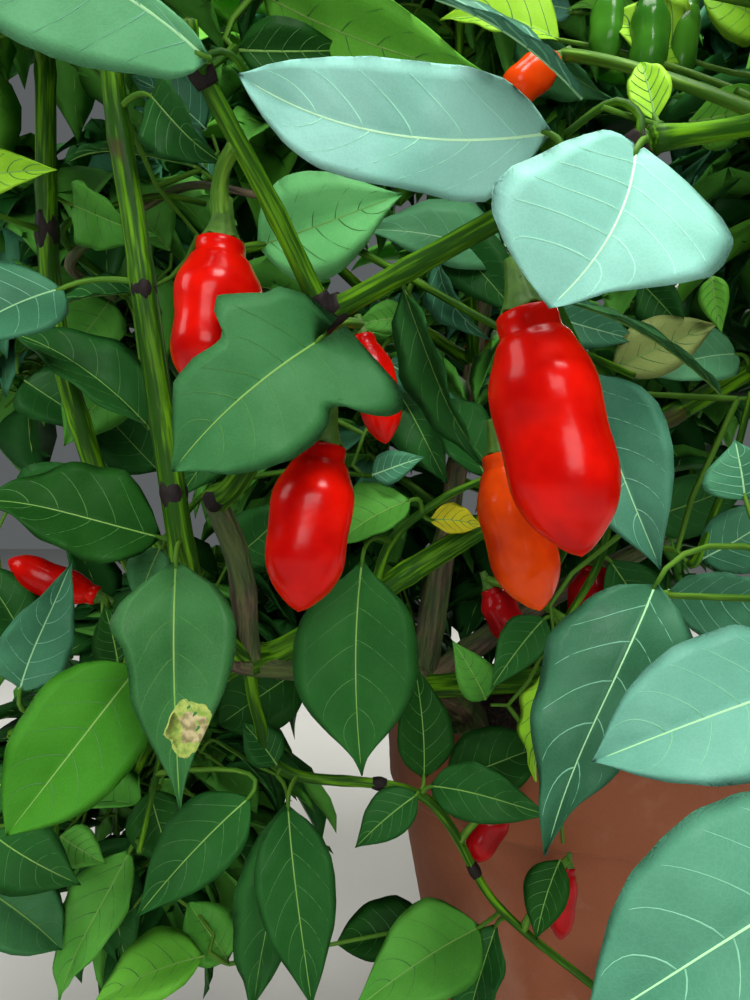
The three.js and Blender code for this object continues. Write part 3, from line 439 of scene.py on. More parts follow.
# Growth of the masses: twigs reach out in a spiral, and leaves stand round each twig. Of a pair, the
# first is the least and the second is what the dice may add. Radii and tapers go from start to end.
# LEAF_OUT and SHOOT_SPREAD point sideways, ahead and up. POD_STALK goes up, out and down.
TWIG_REACH = 0.6
TWIG_UNEVEN = (0.85, 0.3)
SPREAD_DOWN = 1.6
LEAF_SPACE = 1.25
LEAVES_PER_TWIG = 5
LEAVES_FROM = 0.98
LEAVES_OVER = 0.56
LEAF_LENGTH = (84, 34)
LEAF_WIDTH = 0.56
DROOP = (0.35, 1.1)
KEEP_RISE = 0.3
FACE_UP = 0.7
FACE_ROLL = 0.9
NAMED_FACE_UP = 0.25
LEAF_OUT = (0.8, 0.6, 0.1)
PHASE_STEP = 2.1
PETIOLE = (16, 16)
PETIOLE_RADIUS = 1.15
PETIOLE_BEND = 0.45
PETIOLE_OVERLAP = 3
PETIOLE_STEPS = 7
PETIOLE_SIDES = 10
PETIOLE_SWELL = ([0, 0.15, 0.8, 1], [1.7, 1.15, 1.0, 0.75])
PETIOLE_TAPER = (1.15, 0.8)
BEHIND_TAPER = (1.3, 0.9)
TWIG_SIDES = 4
TWIG_STEPS = 5
TWIG_BOW = 2
TWIG_RADIUS = 2.4
TWIG_TIP = 1.3
POD_LENGTH = (58, 20)
POD_RADIUS = 14
POD_FROM = 4
POD_TWIG = 1
POD_PLACE = 0.45
POD_STALK = (10, 10, 14)
POD_LEAN = 0.2
STALK_RADIUS = 2.3
STALK_BOW = 9
STALK_BOW_AT = 0.6
STEM_SEED = 40
SHOOT_SEED = 90
SPRAY_SEED = 500

# Finer twigs that grow on from each twig, with younger leaves
FINE_TWIGS = 10
FINE_FROM = 0.08
FINE_STEP = 0.1
FINE_LENGTH = (30, 36)
FINE_LEAVES = 6
FINE_LEAF = (52, 42)
FINE_DROOP = (-0.1, 1.2)
FINE_RADIUS = (1.5, 0.9)
FINE_PETIOLE = (9, 9)
FINE_LEAVES_OVER = 0.7
MIDRIB_APART = 6.5
REACH_PAST = 6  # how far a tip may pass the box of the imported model
SHOOT_SPREAD = (0.85, 0.5, 0.15)

# Paths


def place_on(points, share):
    """The point of a smooth line through the points, at a share of its spans."""
    last = len(points) - 1
    walked = last * share
    span = min(int(math.floor(walked)), last - 1)
    part = walked - span
    before = points[span - 1] if span > 0 else 2 * points[0] - points[1]
    start, end = points[span], points[span + 1]
    after = points[span + 2] if span + 2 <= last else 2 * points[last] - points[last - 1]
    leave = (end - before) / 2
    arrive = (after - start) / 2
    square, cube = part**2, part**3
    return (
        (2 * cube - 3 * square + 1) * start
        + (cube - 2 * square + part) * leave
        + (3 * square - 2 * cube) * end
        + (cube - square) * arrive
    )


def length_of(line):
    return float(np.linalg.norm(np.diff(line, axis=0), axis=1).sum())


def evenly(points, count):
    """Count + 1 places along the smooth line, the same distance apart."""
    fine = np.array([place_on(points, i / 200) for i in range(201)])
    walked = np.concatenate([[0], np.cumsum(np.linalg.norm(np.diff(fine, axis=0), axis=1))])
    wanted = np.linspace(0, walked[-1], count + 1)
    return np.stack([np.interp(wanted, walked, fine[:, k]) for k in range(3)], axis=1)


def round_about(sides):
    """The angles of the sides of a round piece."""
    return np.linspace(0, 2 * math.pi, sides, endpoint=False)


def unit(vector):
    return vector / max(float(np.linalg.norm(vector)), 1e-9)


def turned(vector, axis, angle):
    """A vector turned about a unit axis."""
    return (
        vector * math.cos(angle)
        + np.cross(axis, vector) * math.sin(angle)
        + axis * float(np.dot(axis, vector)) * (1 - math.cos(angle))
    )


def sideways(along, turn):
    """A direction square to another, turned about it."""
    other = SIDE if abs(along[2]) > 0.9 else UP
    return turned(unit(np.cross(along, other)), along, turn)


def facing(base, tip, wish, turn):
    """The face of a blade: the part of a wished direction that is square to its midrib."""
    along = unit(tip - base)
    return turned(unit(wish - along * float(np.dot(wish, along))), along, turn)


def nearest_on(lines, point):
    """The nearest place to a point on any of the lines."""
    best = None
    for line in lines:
        for start, end in zip(line[:-1], line[1:]):
            way = end - start
            share = float(np.clip(np.dot(point - start, way) / np.dot(way, way), 0, 1))
            near = start + way * share
            if best is None or np.linalg.norm(near - point) < np.linalg.norm(best - point):
                best = near
    return best


def bowed(start, middle, end, count):
    """A bow from start to end that is drawn towards a middle place."""
    share = np.linspace(0, 1, count + 1)[:, None]
    return start * (1 - share) ** 2 + middle * 2 * share * (1 - share) + end * share**2


def dice(seed):
    """Random numbers from 0 to 1, the same each time."""
    state = seed

    def roll():
        nonlocal state
        state = (state * 1664525 + 1013904223) % 4294967296
        return state / 4294967296

    return roll


# Meshes


def linked(name, data):
    """A new object in the scene."""
    made = bpy.data.objects.new(name, data)
    bpy.context.scene.collection.objects.link(made)
    return made


class Stock:
    """Points and faces of one kind of piece, gathered until they are made into one mesh."""

    def __init__(self):
        self.points, self.quads, self.threes, self.grain = [], [], [], []
        self.count = 0

    def add(self, points, quads=(), threes=(), grain=None):
        if len(quads):
            self.quads.append(np.asarray(quads, int) + self.count)
        if len(threes):
            self.threes.append(np.asarray(threes, int) + self.count)
        if grain is not None:
            self.grain.append(grain)
        self.points.append(points)
        self.count += len(points)

    def add_rings(self, body, ends, grain=None):
        """Rings of points, joined to a tube that closes at two end points."""
        faces = ring_faces(*body.shape[:2])
        self.add(np.concatenate([body.reshape(-1, 3), ends]), *faces, grain=grain)

    def made(self, name, finish):
        points = np.concatenate(self.points) * MM
        quads = np.concatenate(self.quads) if self.quads else np.zeros((0, 4), int)
        threes = np.concatenate(self.threes) if self.threes else np.zeros((0, 3), int)
        mesh = bpy.data.meshes.new(name)
        mesh.vertices.add(len(points))
        mesh.vertices.foreach_set("co", points.ravel())
        mesh.loops.add(quads.size + threes.size)
        mesh.loops.foreach_set("vertex_index", np.concatenate([quads.ravel(), threes.ravel()]))
        starts = np.concatenate([np.arange(len(quads)) * 4, quads.size + np.arange(len(threes)) * 3])
        mesh.polygons.add(len(starts))
        mesh.polygons.foreach_set("loop_start", starts)
        mesh.polygons.foreach_set("use_smooth", np.ones(len(starts), bool))
        if self.grain:
            grain = mesh.attributes.new("grain", "FLOAT_VECTOR", "POINT")
            grain.data.foreach_set("vector", np.concatenate(self.grain).ravel())
        mesh.update(calc_edges=True)
        mesh.validate()
        mesh.materials.append(finish)
        return linked(name, mesh)


def placed(piece, slot, *nodes):
    """A finished piece rides on the plant and stands for its nodes."""
    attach(piece, "root")
    if nodes:
        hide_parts(*nodes)
    return piece


def frames_along(line):
    """Along, normal and side directions at each point, turning as little as they can."""
    along = np.gradient(line, axis=0)
    along /= np.linalg.norm(along, axis=1)[:, None]
    normals = [sideways(along[0], 0)]
    for way in along[1:]:
        last = normals[-1]
        normals.append(unit(last - way * float(np.dot(last, way))))
    normals = np.array(normals)
    return along, normals, np.cross(along, normals)


def ring_faces(rings, sides):
    """Quads between rings of a tube, facing out, and fans that close its two ends."""
    first = np.arange(rings - 1)[:, None] * sides + np.arange(sides)[None, :]
    second = np.arange(rings - 1)[:, None] * sides + (np.arange(sides)[None, :] + 1) % sides
    quads = np.stack([first, second, second + sides, first + sides], axis=-1).reshape(-1, 4)
    low, high = rings * sides, rings * sides + 1
    around = np.arange(sides)
    following = (around + 1) % sides
    top = (rings - 1) * sides
    threes = np.concatenate([
        np.stack([following, around, np.full(sides, low)], axis=-1),
        np.stack([top + around, top + following, np.full(sides, high)], axis=-1),
    ])
    return quads, threes


def spokes(normal, side, angle):
    """Directions square to a line, one for each angle round it."""
    across = normal[:, None, :] * np.cos(angle)[None, :, None]
    return across + side[:, None, :] * np.sin(angle)[None, :, None]


def wrapped(angle, along, radius=1):
    """Places on a round form, for noise that closes round it."""
    places = (np.cos(angle)[None, :] * radius, np.sin(angle)[None, :] * radius, along[:, None])
    return np.stack(np.broadcast_arrays(*places), axis=-1)


def tube(stock, line, radii, ends=(0.0, 0.0)):
    """A tube round a line. radii holds a radius for each ring and side."""
    sides = radii.shape[1]
    along, normal, side = frames_along(line)
    angle = round_about(sides)
    body = line[:, None, :] + spokes(normal, side, angle) * radii[:, :, None]
    walked = np.concatenate([[0], np.cumsum(np.linalg.norm(np.diff(line, axis=0), axis=1))])
    grain = np.stack([
        np.cos(angle)[None, :] * radii,
        np.sin(angle)[None, :] * radii,
        np.repeat(walked[:, None], sides, axis=1),
    ], axis=-1)
    grain = np.concatenate([grain.reshape(-1, 3), [[0, 0, 0], [0, 0, walked[-1]]]]) * MM
    tips = [line[0] - along[0] * ends[0], line[-1] + along[-1] * ends[1]]
    stock.add_rings(body, tips, grain)


def hills(places, size, seed):
    """Smooth noise from -1 to 1 at each place, with hills of about one size."""
    shift = Vector((seed * 7.31, seed * 3.17, seed * 5.73))
    flat = places.reshape(-1, 3) / size
    return np.array([noise.noise(Vector(place) + shift) for place in flat]).reshape(places.shape[:-1])


# Leaves

# A blade's half width at each place along its midrib, as shares of its widest and its length
OVATE = ([0, 0.03, 0.08, 0.16, 0.26, 0.36, 0.48, 0.6, 0.72, 0.82, 0.9, 0.96, 1],
         [0.05, 0.2, 0.5, 0.8, 0.97, 1, 0.94, 0.79, 0.56, 0.34, 0.17, 0.06, 0.01])
BLUNT = ([0, 0.03, 0.08, 0.16, 0.28, 0.42, 0.56, 0.68, 0.8, 0.89, 0.95, 0.98, 1],
         [0.05, 0.24, 0.52, 0.8, 0.98, 1, 0.95, 0.84, 0.62, 0.36, 0.16, 0.06, 0.01])
POINTED = ([0, 0.03, 0.08, 0.16, 0.28, 0.42, 0.54, 0.66, 0.76, 0.85, 0.92, 0.97, 1],
           [0.04, 0.12, 0.34, 0.66, 0.92, 1, 0.93, 0.74, 0.52, 0.30, 0.14, 0.05, 0.01])
SWEPT_RIGHT = ([0, 0.03, 0.08, 0.16, 0.28, 0.4, 0.5, 0.6, 0.7, 0.8, 0.89, 0.95, 1],
               [0.05, 0.26, 0.56, 0.88, 1.04, 1.04, 0.96, 0.76, 0.52, 0.3, 0.18, 0.1, 0.01])
SWEPT_LEFT = ([0, 0.03, 0.09, 0.2, 0.34, 0.5, 0.64, 0.76, 0.86, 0.93, 0.98, 1],
              [0.05, 0.2, 0.42, 0.62, 0.8, 0.98, 1.12, 1.16, 1.02, 0.74, 0.34, 0.01])
HANGING_RIGHT = ([0, 0.03, 0.08, 0.14, 0.22, 0.32, 0.42, 0.56, 0.68, 0.8, 0.89, 0.95, 0.98, 1],
                 [0.05, 0.36, 0.76, 1, 0.98, 0.86, 0.8, 0.8, 0.78, 0.62, 0.4, 0.2, 0.08, 0.01])
HANGING_LEFT = ([0, 0.03, 0.08, 0.16, 0.28, 0.42, 0.56, 0.68, 0.8, 0.89, 0.95, 0.98, 1],
                [0.05, 0.24, 0.54, 0.87, 1.05, 1.09, 1.03, 0.9, 0.65, 0.4, 0.18, 0.07, 0.01])
TURNED_RIGHT = ([0, 0.02, 0.06, 0.12, 0.2, 0.3, 0.4, 0.5, 0.6, 0.7, 0.8, 0.9, 0.96, 1],
                [0.05, 0.24, 0.46, 0.68, 0.84, 1.02, 1.14, 1.18, 1.14, 1, 0.75, 0.38, 0.15, 0.01])
TURNED_LEFT = ([0, 0.03, 0.1, 0.3, 0.5, 0.7, 0.9, 1],
               [0.05, 0.12, 0.18, 0.26, 0.3, 0.25, 0.12, 0.01])
LOBED_LEFT = ([0, 0.03, 0.1, 0.17, 0.25, 0.32, 0.38, 0.42, 0.48, 0.58, 0.72, 0.83, 0.93, 1],
              [0.06, 0.5, 0.78, 0.8, 0.98, 1.12, 1.0, 0.68, 0.66, 0.72, 0.66, 0.4, 0.14, 0.01])
LOBED_RIGHT = ([0, 0.03, 0.09, 0.16, 0.22, 0.27, 0.31, 0.38, 0.48, 0.6, 0.72, 0.84, 0.93, 1],
               [0.08, 1.05, 1.44, 1.42, 1.22, 0.9, 0.82, 0.98, 1.04, 1.0, 0.84, 0.58, 0.24, 0.01])

NOTCHED_LEFT = ([0, 0.05, 0.11, 0.17, 0.25, 0.3, 0.36, 0.45, 0.56, 0.67, 0.78, 0.87, 0.95, 1],
                [0.05, 0.3, 0.6, 0.84, 1, 0.93, 0.76, 0.7, 0.67, 0.5, 0.3, 0.12, 0.04, 0.01])
NOTCHED_RIGHT = ([0, 0.06, 0.11, 0.17, 0.22, 0.28, 0.37, 0.45, 0.56, 0.67, 0.78, 0.87, 0.95, 1],
                 [0.05, 0.37, 0.66, 0.84, 0.93, 1, 1, 0.93, 0.75, 0.53, 0.28, 0.12, 0.04, 0.01])
ROUND = ([0, 0.06, 0.13, 0.2, 0.28, 0.39, 0.52, 0.59, 0.66, 0.73, 0.8, 0.86, 0.91, 0.96, 1],
         [0.05, 0.2, 0.5, 0.74, 0.9, 0.99, 1, 0.95, 0.86, 0.7, 0.49, 0.28, 0.13, 0.05, 0.01])

# Forms: outlines of the two halves, arch of the midrib, fold of the edges, droop of the tip, ripple
# of the margin, swelling between the side veins, twist in radians, sideways bow of the midrib and
# how far the base's lobes reach back. All but the twist are shares of the length.
FORMS = {
    "plain": (OVATE, OVATE, 0.07, 0.10, 0.05, 0.012, 0.0038, 0.15, 0.012, 0),
    "wavy": (OVATE, OVATE, 0.08, 0.12, 0.08, 0.026, 0.0042, -0.3, -0.02, 0),
    "flat": (OVATE, OVATE, 0.06, 0.06, 0.02, 0.008, 0.0034, 0.05, 0.015, 0),
    "broad": (BLUNT, BLUNT, 0.07, 0.08, 0.05, 0.012, 0.0038, 0.1, -0.012, 0),
    "pointed": (POINTED, POINTED, 0.06, 0.10, 0.04, 0.016, 0.0040, 0.12, 0.02, 0),
    "lobed": (LOBED_RIGHT, LOBED_LEFT, 0.10, 0.05, 0.06, 0.012, 0.0034, -0.1, 0.02, 0.17),
    "swept": (SWEPT_RIGHT, SWEPT_LEFT, 0.08, 0.06, 0.04, 0.012, 0.0036, 0.1, -0.07, 0.03),
    "notched": (NOTCHED_RIGHT, NOTCHED_LEFT, 0.05, 0.09, 0.04, 0.010, 0.0040, 0.14, 0.015, 0),
    "round": (ROUND, ROUND, 0.05, 0.07, 0.04, 0.008, 0.0035, 0.05, 0.03, 0),
    "hanging": (HANGING_RIGHT, HANGING_LEFT, 0.05, 0.05, 0.02, 0.010, 0.0034, 0.1, -0.09, 0),
    "turned": (TURNED_RIGHT, TURNED_LEFT, 0.03, 0.03, 0.02, 0.008, 0.0030, 0.1, 0.1, 0.02),
    "cupped": (OVATE, OVATE, 0.12, 0.17, 0.10, 0.016, 0.0040, 0.25, 0.03, 0),
    "slim": (POINTED, POINTED, 0.05, 0.14, 0.12, 0.018, 0.0040, -0.15, -0.03, 0),
}
BLADE_THICK = 0.45
MIDRIB_GROOVE = 0.5
GROOVE_WIDTH = 2.2
FIRST_VEIN = 0.07
VEIN_STEP = 0.155
VEIN_LEAD = 0.25
VEIN_BEND = 1.35
MIDRIB_WIDTH = (1.25, 0.3)
VEIN_WIDTH = (0.42, 0.1)
VEIN_STANDS = 0.36
MIDRIB_CROWDING = 1.35
STATION_CROWDING = 0.92
DROOP_FROM = 0.55
DROOP_AT_TIP = 4 * (1 - DROOP_FROM) ** 2
MARGIN_LAG = 1.9  # how far the ripples of the right margin run ahead of those of the left one
LIGHT_THICK = 0.5
LIGHT_STATIONS = (0.06, 0.18, 0.34, 0.52, 0.72, 0.88)
LIGHT_COLUMNS = (-1, -0.5, 0, 0.5, 1)
LIGHT_VEIN_STANDS = 0.3
LIGHT_VEIN_ROOT = 0.2
LIGHT_VEINS = 5
LIGHT_STEPS = 2
LIGHT_VEIN_STEP = 0.16
LIGHT_VEIN_LEAD = 0.19
LIGHT_MIDRIB = (1.3, 0.4)
LIGHT_VEIN = (0.6, 0.2)
RIPPLES = 3.5
# Stations along a blade, columns to each side, and steps along its midrib and along a side vein
FRONT_LEAF_MESH = (34, 6, (20, 8))
BEHIND_LEAF_MESH = (16, 3, (10, 5))


class Blade:
    """The shape of one leaf blade in its own space: across is X, the midrib Y, the face Z."""

    def __init__(self, length, width, form, phase, swelling=1.0):
        self.length, self.width, self.phase, self.swelling = length, width, phase, swelling
        self.right, self.left, *self.bends = FORMS[form]

    def half(self, share, side):
        outline = np.where(side > 0, np.interp(share, *self.left), np.interp(share, *self.right))
        return self.width / 2 * outline

    def at(self, share, side):
        """A point of the middle surface. side runs from -1 to 1 across the blade."""
        arch, fold, droop, ripple, swell, twist, bow, back = self.bends
        reach = np.abs(side)
        across = side * self.half(share, side)
        vein = (share - VEIN_LEAD * reach**VEIN_BEND - FIRST_VEIN) / VEIN_STEP
        fading = np.clip(reach * 4, 0, 1) * np.clip((1.02 - reach) * 5, 0, 1)
        fading = fading * np.clip((1 - share) * 6, 0, 1)
        puffed = -swell * self.swelling * np.cos(2 * math.pi * vein) * fading * np.clip(share * 8, 0, 1)
        margin = ripple * reach**2 * np.sin(
            2 * math.pi * RIPPLES * share + self.phase + np.where(side > 0, 0, MARGIN_LAG))
        height = self.length * (
            4 * arch * share * (1 - share)
            + fold * np.abs(across) * 2 / self.length / LEAF_WIDTH
            + margin * np.clip((1 - share) * 5, 0, 1)
            - droop * np.clip(share - DROOP_FROM, 0, 1) ** 2 * 4 * (1 - 0.35 * reach)
            + droop * DROOP_AT_TIP * share
            + puffed
        )
        height = height - MIDRIB_GROOVE * np.exp(-((across / GROOVE_WIDTH) ** 2))
        angle = twist * (share - 0.5)
        return np.stack([
            across * np.cos(angle) - height * np.sin(angle) + bow * self.length * 4 * share * (1 - share),
            self.length * (share - back * reach**1.2 * (1 - share) ** 3),
            across * np.sin(angle) + height * np.cos(angle),
        ], axis=-1)


def blade_mesh(blade, stations, columns):
    """A thin closed blade: a top and a bottom sheet that share the margin."""
    share = np.linspace(0, 1, stations + 1) ** STATION_CROWDING
    even = np.linspace(-1, 1, 2 * columns + 1)
    side = np.sign(even) * np.abs(even) ** MIDRIB_CROWDING
    grid = blade.at(share[:, None] + 0 * side[None, :], side[None, :] + 0 * share[:, None])
    edge = np.zeros(grid.shape[:2], bool)
    edge[0], edge[-1], edge[:, 0], edge[:, -1] = True, True, True, True
    lift = np.where(edge, 0, BLADE_THICK / 2)[..., None] * UP
    top = np.arange(edge.size).reshape(edge.shape)
    bottom = np.where(edge, top, 0)
    bottom[~edge] = edge.size + np.arange((~edge).sum())
    points = np.concatenate([(grid + lift).reshape(-1, 3), (grid - lift)[~edge]])
    upper = np.stack([top[:-1, :-1], top[:-1, 1:], top[1:, 1:], top[1:, :-1]], axis=-1).reshape(-1, 4)
    lower = np.stack([bottom[:-1, :-1], bottom[1:, :-1], bottom[1:, 1:], bottom[:-1, 1:]], axis=-1)
    return points, np.concatenate([upper, lower.reshape(-1, 4)])


def light_blade(blade):
    """A closed blade of few faces: its bottom has half as many strips as its top."""
    share, side = np.array(LIGHT_STATIONS)[:, None], np.array(LIGHT_COLUMNS)[None, :]
    rows, strips = len(LIGHT_STATIONS), len(LIGHT_COLUMNS) - 1
    top = blade.at(share + 0 * side, side + 0 * share)
    lift = UP * LIGHT_THICK / 2
    top[:, 1:-1] += lift
    ends = blade.at(np.array([0.0, 1.0]), np.zeros(2))
    points = np.concatenate([top.reshape(-1, 3), top[:, strips // 2] - 2 * lift, ends])
    at = np.arange(top.size // 3).reshape(rows, strips + 1)
    under = np.stack([at[:, 0], at.size + np.arange(rows), at[:, -1]], axis=1)
    base, tip = at.size + rows, at.size + rows + 1
    upper = np.stack([at[:-1, :-1], at[:-1, 1:], at[1:, 1:], at[1:, :-1]], axis=-1)
    lower = np.stack([under[:-1, :-1], under[1:, :-1], under[1:, 1:], under[:-1, 1:]], axis=-1)
    threes = [(base, at[0, k + 1], at[0, k]) for k in range(strips)]
    threes += [(at[-1, k], at[-1, k + 1], tip) for k in range(strips)]
    threes += [(base, under[0, k], under[0, k + 1]) for k in range(2)]
    threes += [(under[-1, k + 1], under[-1, k], tip) for k in range(2)]
    return points, np.concatenate([upper.reshape(-1, 4), lower.reshape(-1, 4)]), threes


def ridge(blade, share, side, half_width):
    """A raised vein that lies along a line on the blade and shows on both faces."""
    line = blade.at(share, side)
    way = np.gradient(line, axis=0)
    way /= np.linalg.norm(way, axis=1)[:, None] + 1e-9
    across = np.cross(way, UP)
    across /= np.linalg.norm(across, axis=1)[:, None] + 1e-9
    stands = (BLADE_THICK / 2 + VEIN_STANDS) * UP
    wide = half_width[:, None] * across
    ring = np.stack([line - wide, line + stands, line + wide, line - stands], axis=1)
    ring[-1] = line[-1]
    quads, threes = ring_faces(len(line), 4)
    return np.concatenate([ring.reshape(-1, 3), [line[0], line[-1]]]), quads, threes


def light_ridge(blade, share, side, half_width):
    """A raised vein of three sides that runs out to a point."""
    line = blade.at(share, side) + UP * BLADE_THICK / 2
    way = np.gradient(line, axis=0)
    across = np.cross(way, UP)
    wide = half_width[:, None] * across / (np.linalg.norm(across, axis=1)[:, None] + 1e-9)
    foot = line - UP * LIGHT_VEIN_ROOT
    ring = np.stack([foot - wide, line + UP * LIGHT_VEIN_STANDS, foot + wide], axis=1)
    last = len(line) - 1
    quads = [(3 * k + a, 3 * k + b, 3 * k + 3 + b, 3 * k + 3 + a)
             for k in range(last - 1) for a, b in ((0, 1), (1, 2), (2, 0))]
    end = 3 * last
    threes = [(0, 2, 1)] + [(end - 3 + a, end - 3 + b, end) for a, b in ((0, 1), (1, 2), (2, 0))]
    return np.concatenate([ring[:-1].reshape(-1, 3), line[-1:]]), quads, threes


def light_midrib(blade):
    share = np.array([0.0, 0.2, 0.42, 0.64, 0.82, 0.97])
    return light_ridge(blade, share, 0 * share, np.interp(share, [0, 1], LIGHT_MIDRIB))


def light_veins(blade):
    """A few side veins of few faces."""
    for k in range(LIGHT_VEINS):
        for hand in (-1, 1):
            side = np.linspace(0.0, 0.9 - 0.03 * k, LIGHT_STEPS + 1)
            start = FIRST_VEIN + LIGHT_VEIN_STEP * k + (0.03 if hand > 0 else 0)
            share = np.clip(start + LIGHT_VEIN_LEAD * side, 0, 0.98)
            yield light_ridge(blade, share, hand * side, np.interp(side, [0, 1], LIGHT_VEIN))


def midrib(blade, steps):
    share = np.linspace(0, 0.97, steps + 1)
    return ridge(blade, share, 0 * share, np.interp(share, [0, 1], MIDRIB_WIDTH))


def side_veins(blade, side_steps):
    """Side veins that leave the midrib in turn to each side and curve to the margin."""
    count = int((0.8 - FIRST_VEIN) / VEIN_STEP) + 1
    for k in range(count):
        for hand in (-1, 1):
            start = FIRST_VEIN + VEIN_STEP * k + (0.02 if hand > 0 else 0)
            side = np.linspace(0.02, 0.93 - 0.02 * k, side_steps + 1)
            share = np.clip(start + VEIN_LEAD * side**VEIN_BEND, 0, 0.985)
            yield ridge(blade, share, hand * side, np.interp(side, [0, 1], VEIN_WIDTH))


def leaf_length(leaf):
    return float(np.linalg.norm(leaf["tip"] - leaf["base"]))


def leaf_axes(leaf):
    """The turn from a blade's own space to its place on the plant, as columns."""
    along = unit(leaf["tip"] - leaf["base"])
    return np.stack([np.cross(along, leaf["face"]), along, leaf["face"]], axis=1)


def blade_of(leaf):
    """The blade of one named leaf."""
    return Blade(leaf_length(leaf), leaf["width"], leaf["form"], leaf["phase"])


def set_leaf(blades, ribs, veins, leaf, stations, columns, steps):
    """Adds one named leaf, with its midrib and its side veins, to the stocks."""
    axes, blade = leaf_axes(leaf), blade_of(leaf)
    points, quads = blade_mesh(blade, stations, columns)
    blades.add(leaf["base"] + points @ axes.T, quads)
    points, quads, threes = midrib(blade, steps[0])
    ribs.add(leaf["base"] + points @ axes.T, quads, threes)
    for points, quads, threes in side_veins(blade, steps[1]):
        veins.add(leaf["base"] + points @ axes.T, quads, threes)


def stalk_line(leaf):
    """The stalk leaves the wood, bows, and runs into the midrib."""
    along = unit(leaf["tip"] - leaf["base"])
    reach = float(np.linalg.norm(leaf["base"] - leaf["root"]))
    bend = leaf["base"] - along * reach * PETIOLE_BEND
    return bowed(leaf["root"], bend, leaf["base"] + along * PETIOLE_OVERLAP, PETIOLE_STEPS)


# Growth

REACH_LOW = np.array(CAD_BOX[0]) / MM - REACH_PAST
REACH_HIGH = np.array(CAD_BOX[1]) / MM + REACH_PAST


def in_space(mass, point):
    """Whether a point keeps to its mass and out of the crown's open front."""
    away = (point - mass["centre"]) / mass["size"] / LEAF_SPACE
    depth = point[1] - EYE[1]
    in_view = abs(point[0] - EYE[0]) < OPEN_WIDTH * depth and abs(point[2] - EYE[2]) < OPEN_HEIGHT * depth
    reached = np.all(point > REACH_LOW) and np.all(point < REACH_HIGH) and point[2] > LOWEST
    return reached and np.linalg.norm(away) < 1 and not (in_view and depth < OPEN_DEPTH)


def random_leaf(root, along, turn, roll, length=LEAF_LENGTH, stalk=PETIOLE, sinks=DROOP):
    """A leaf on its petiole, set out from a twig by the dice."""
    side, ahead, up = LEAF_OUT
    out = unit(sideways(along, turn) * side + along * ahead + UP * up)
    base = root + out * (stalk[0] + stalk[1] * roll())
    long = length[0] + length[1] * roll()
    droop = sinks[0] + sinks[1] * roll()
    tip = base + unit(v(out[0], out[1], out[2] * KEEP_RISE - droop)) * long
    face = facing(base, tip, v(out[0], out[1], FACE_UP), (roll() - 0.5) * FACE_ROLL)
    return {"root": root, "base": base, "tip": tip, "width": long * LEAF_WIDTH, "face": face}


def grown(mass):
    """The twigs of a mass with their leaves, by the rule of the part's source, and one fruit."""
    roll = dice(mass["seed"])
    twigs = []
    for i in range(mass["twigs"]):
        share = (i + 0.5) / mass["twigs"]
        start = place_on(mass["stem"], 1 - (1 - mass["bare"]) * share)
        rise = 1 - SPREAD_DOWN * share
        out = math.sqrt(1 - rise * rise)
        turn = i * GOLDEN + mass["seed"]
        reach = TWIG_REACH * (TWIG_UNEVEN[0] + TWIG_UNEVEN[1] * roll())
        end = mass["centre"] + v(out * math.cos(turn), out * math.sin(turn), rise) * mass["size"] * reach
        along = unit(end - start)
        leaves = []
        for j in range(LEAVES_PER_TWIG):
            root = start + (end - start) * (LEAVES_FROM - LEAVES_OVER * j / (LEAVES_PER_TWIG - 1))
            leaves.append(random_leaf(root, along, j * GOLDEN + i, roll))
        twigs.append({"start": start, "end": end, "leaves": leaves})
    carrier = twigs[POD_TWIG]
    root = carrier["start"] + (carrier["end"] - carrier["start"]) * POD_PLACE
    side = sideways(UP, mass["seed"])
    up, out, drop = POD_STALK
    bend = root + UP * up + side * out
    lean = unit(side * POD_LEAN - UP)
    top = bend + lean * drop
    tip = top + lean * (POD_LENGTH[0] + POD_LENGTH[1] * roll())
    return twigs, {"root": root, "bend": bend, "top": top, "tip": tip, "radius": POD_RADIUS}


def finer(mass, twig, roll):
    """Side shoots of a twig, each with a few younger leaves."""
    along = unit(twig["end"] - twig["start"])
    shoots = []
    for i in range(FINE_TWIGS):
        start = twig["start"] + (twig["end"] - twig["start"]) * (FINE_FROM + FINE_STEP * i)
        out, ahead, up = SHOOT_SPREAD
        way = unit(sideways(along, i * GOLDEN + roll() * 2 * math.pi) * out + along * ahead + UP * up)
        end = start + way * (FINE_LENGTH[0] + FINE_LENGTH[1] * roll())
        leaves = []
        for j in range(FINE_LEAVES):
            root = start + (end - start) * (1 - FINE_LEAVES_OVER * j / FINE_LEAVES)
            leaves.append(random_leaf(root, way, j * GOLDEN + i, roll, FINE_LEAF, FINE_PETIOLE, FINE_DROOP))
        shoots.append({"start": start, "end": end, "leaves": leaves})
    return shoots


def named_leaf(row, root, phase):
    """A leaf at a named place. It faces the eye, apart from a turn of its own."""
    base, tip, width, turn, colour, form = row
    face = facing(base, tip, unit(EYE - base) + UP * NAMED_FACE_UP, math.radians(turn))
    return {"root": root, "base": base, "tip": tip, "width": width, "colour": colour, "form": form,
            "phase": phase, "face": face}


def named_parts(mass):
    """Leaves and fruit that stand at named places, each on the nearest wood of its mass."""
    paths = [mass["stem"]] + [path for path, _ in mass.get("arms", [])]
    lines = [evenly(path, (len(path) - 1) * 6) for path in paths]
    rows = mass.get("leaves", [])
    leaves = [named_leaf(row, nearest_on(lines, row[0]), i * PHASE_STEP) for i, row in enumerate(rows)]
    pods = []
    for top, tip, radius, colour, *stalk in mass.get("pods", []):
        root = nearest_on(lines, stalk[0] if stalk else top)
        bend = stalk[1] if stalk else root + (top - root) * STALK_BOW_AT + UP * STALK_BOW
        pods.append({"root": root, "bend": bend, "top": top, "tip": tip, "radius": radius, "colour": colour})
    return leaves, pods


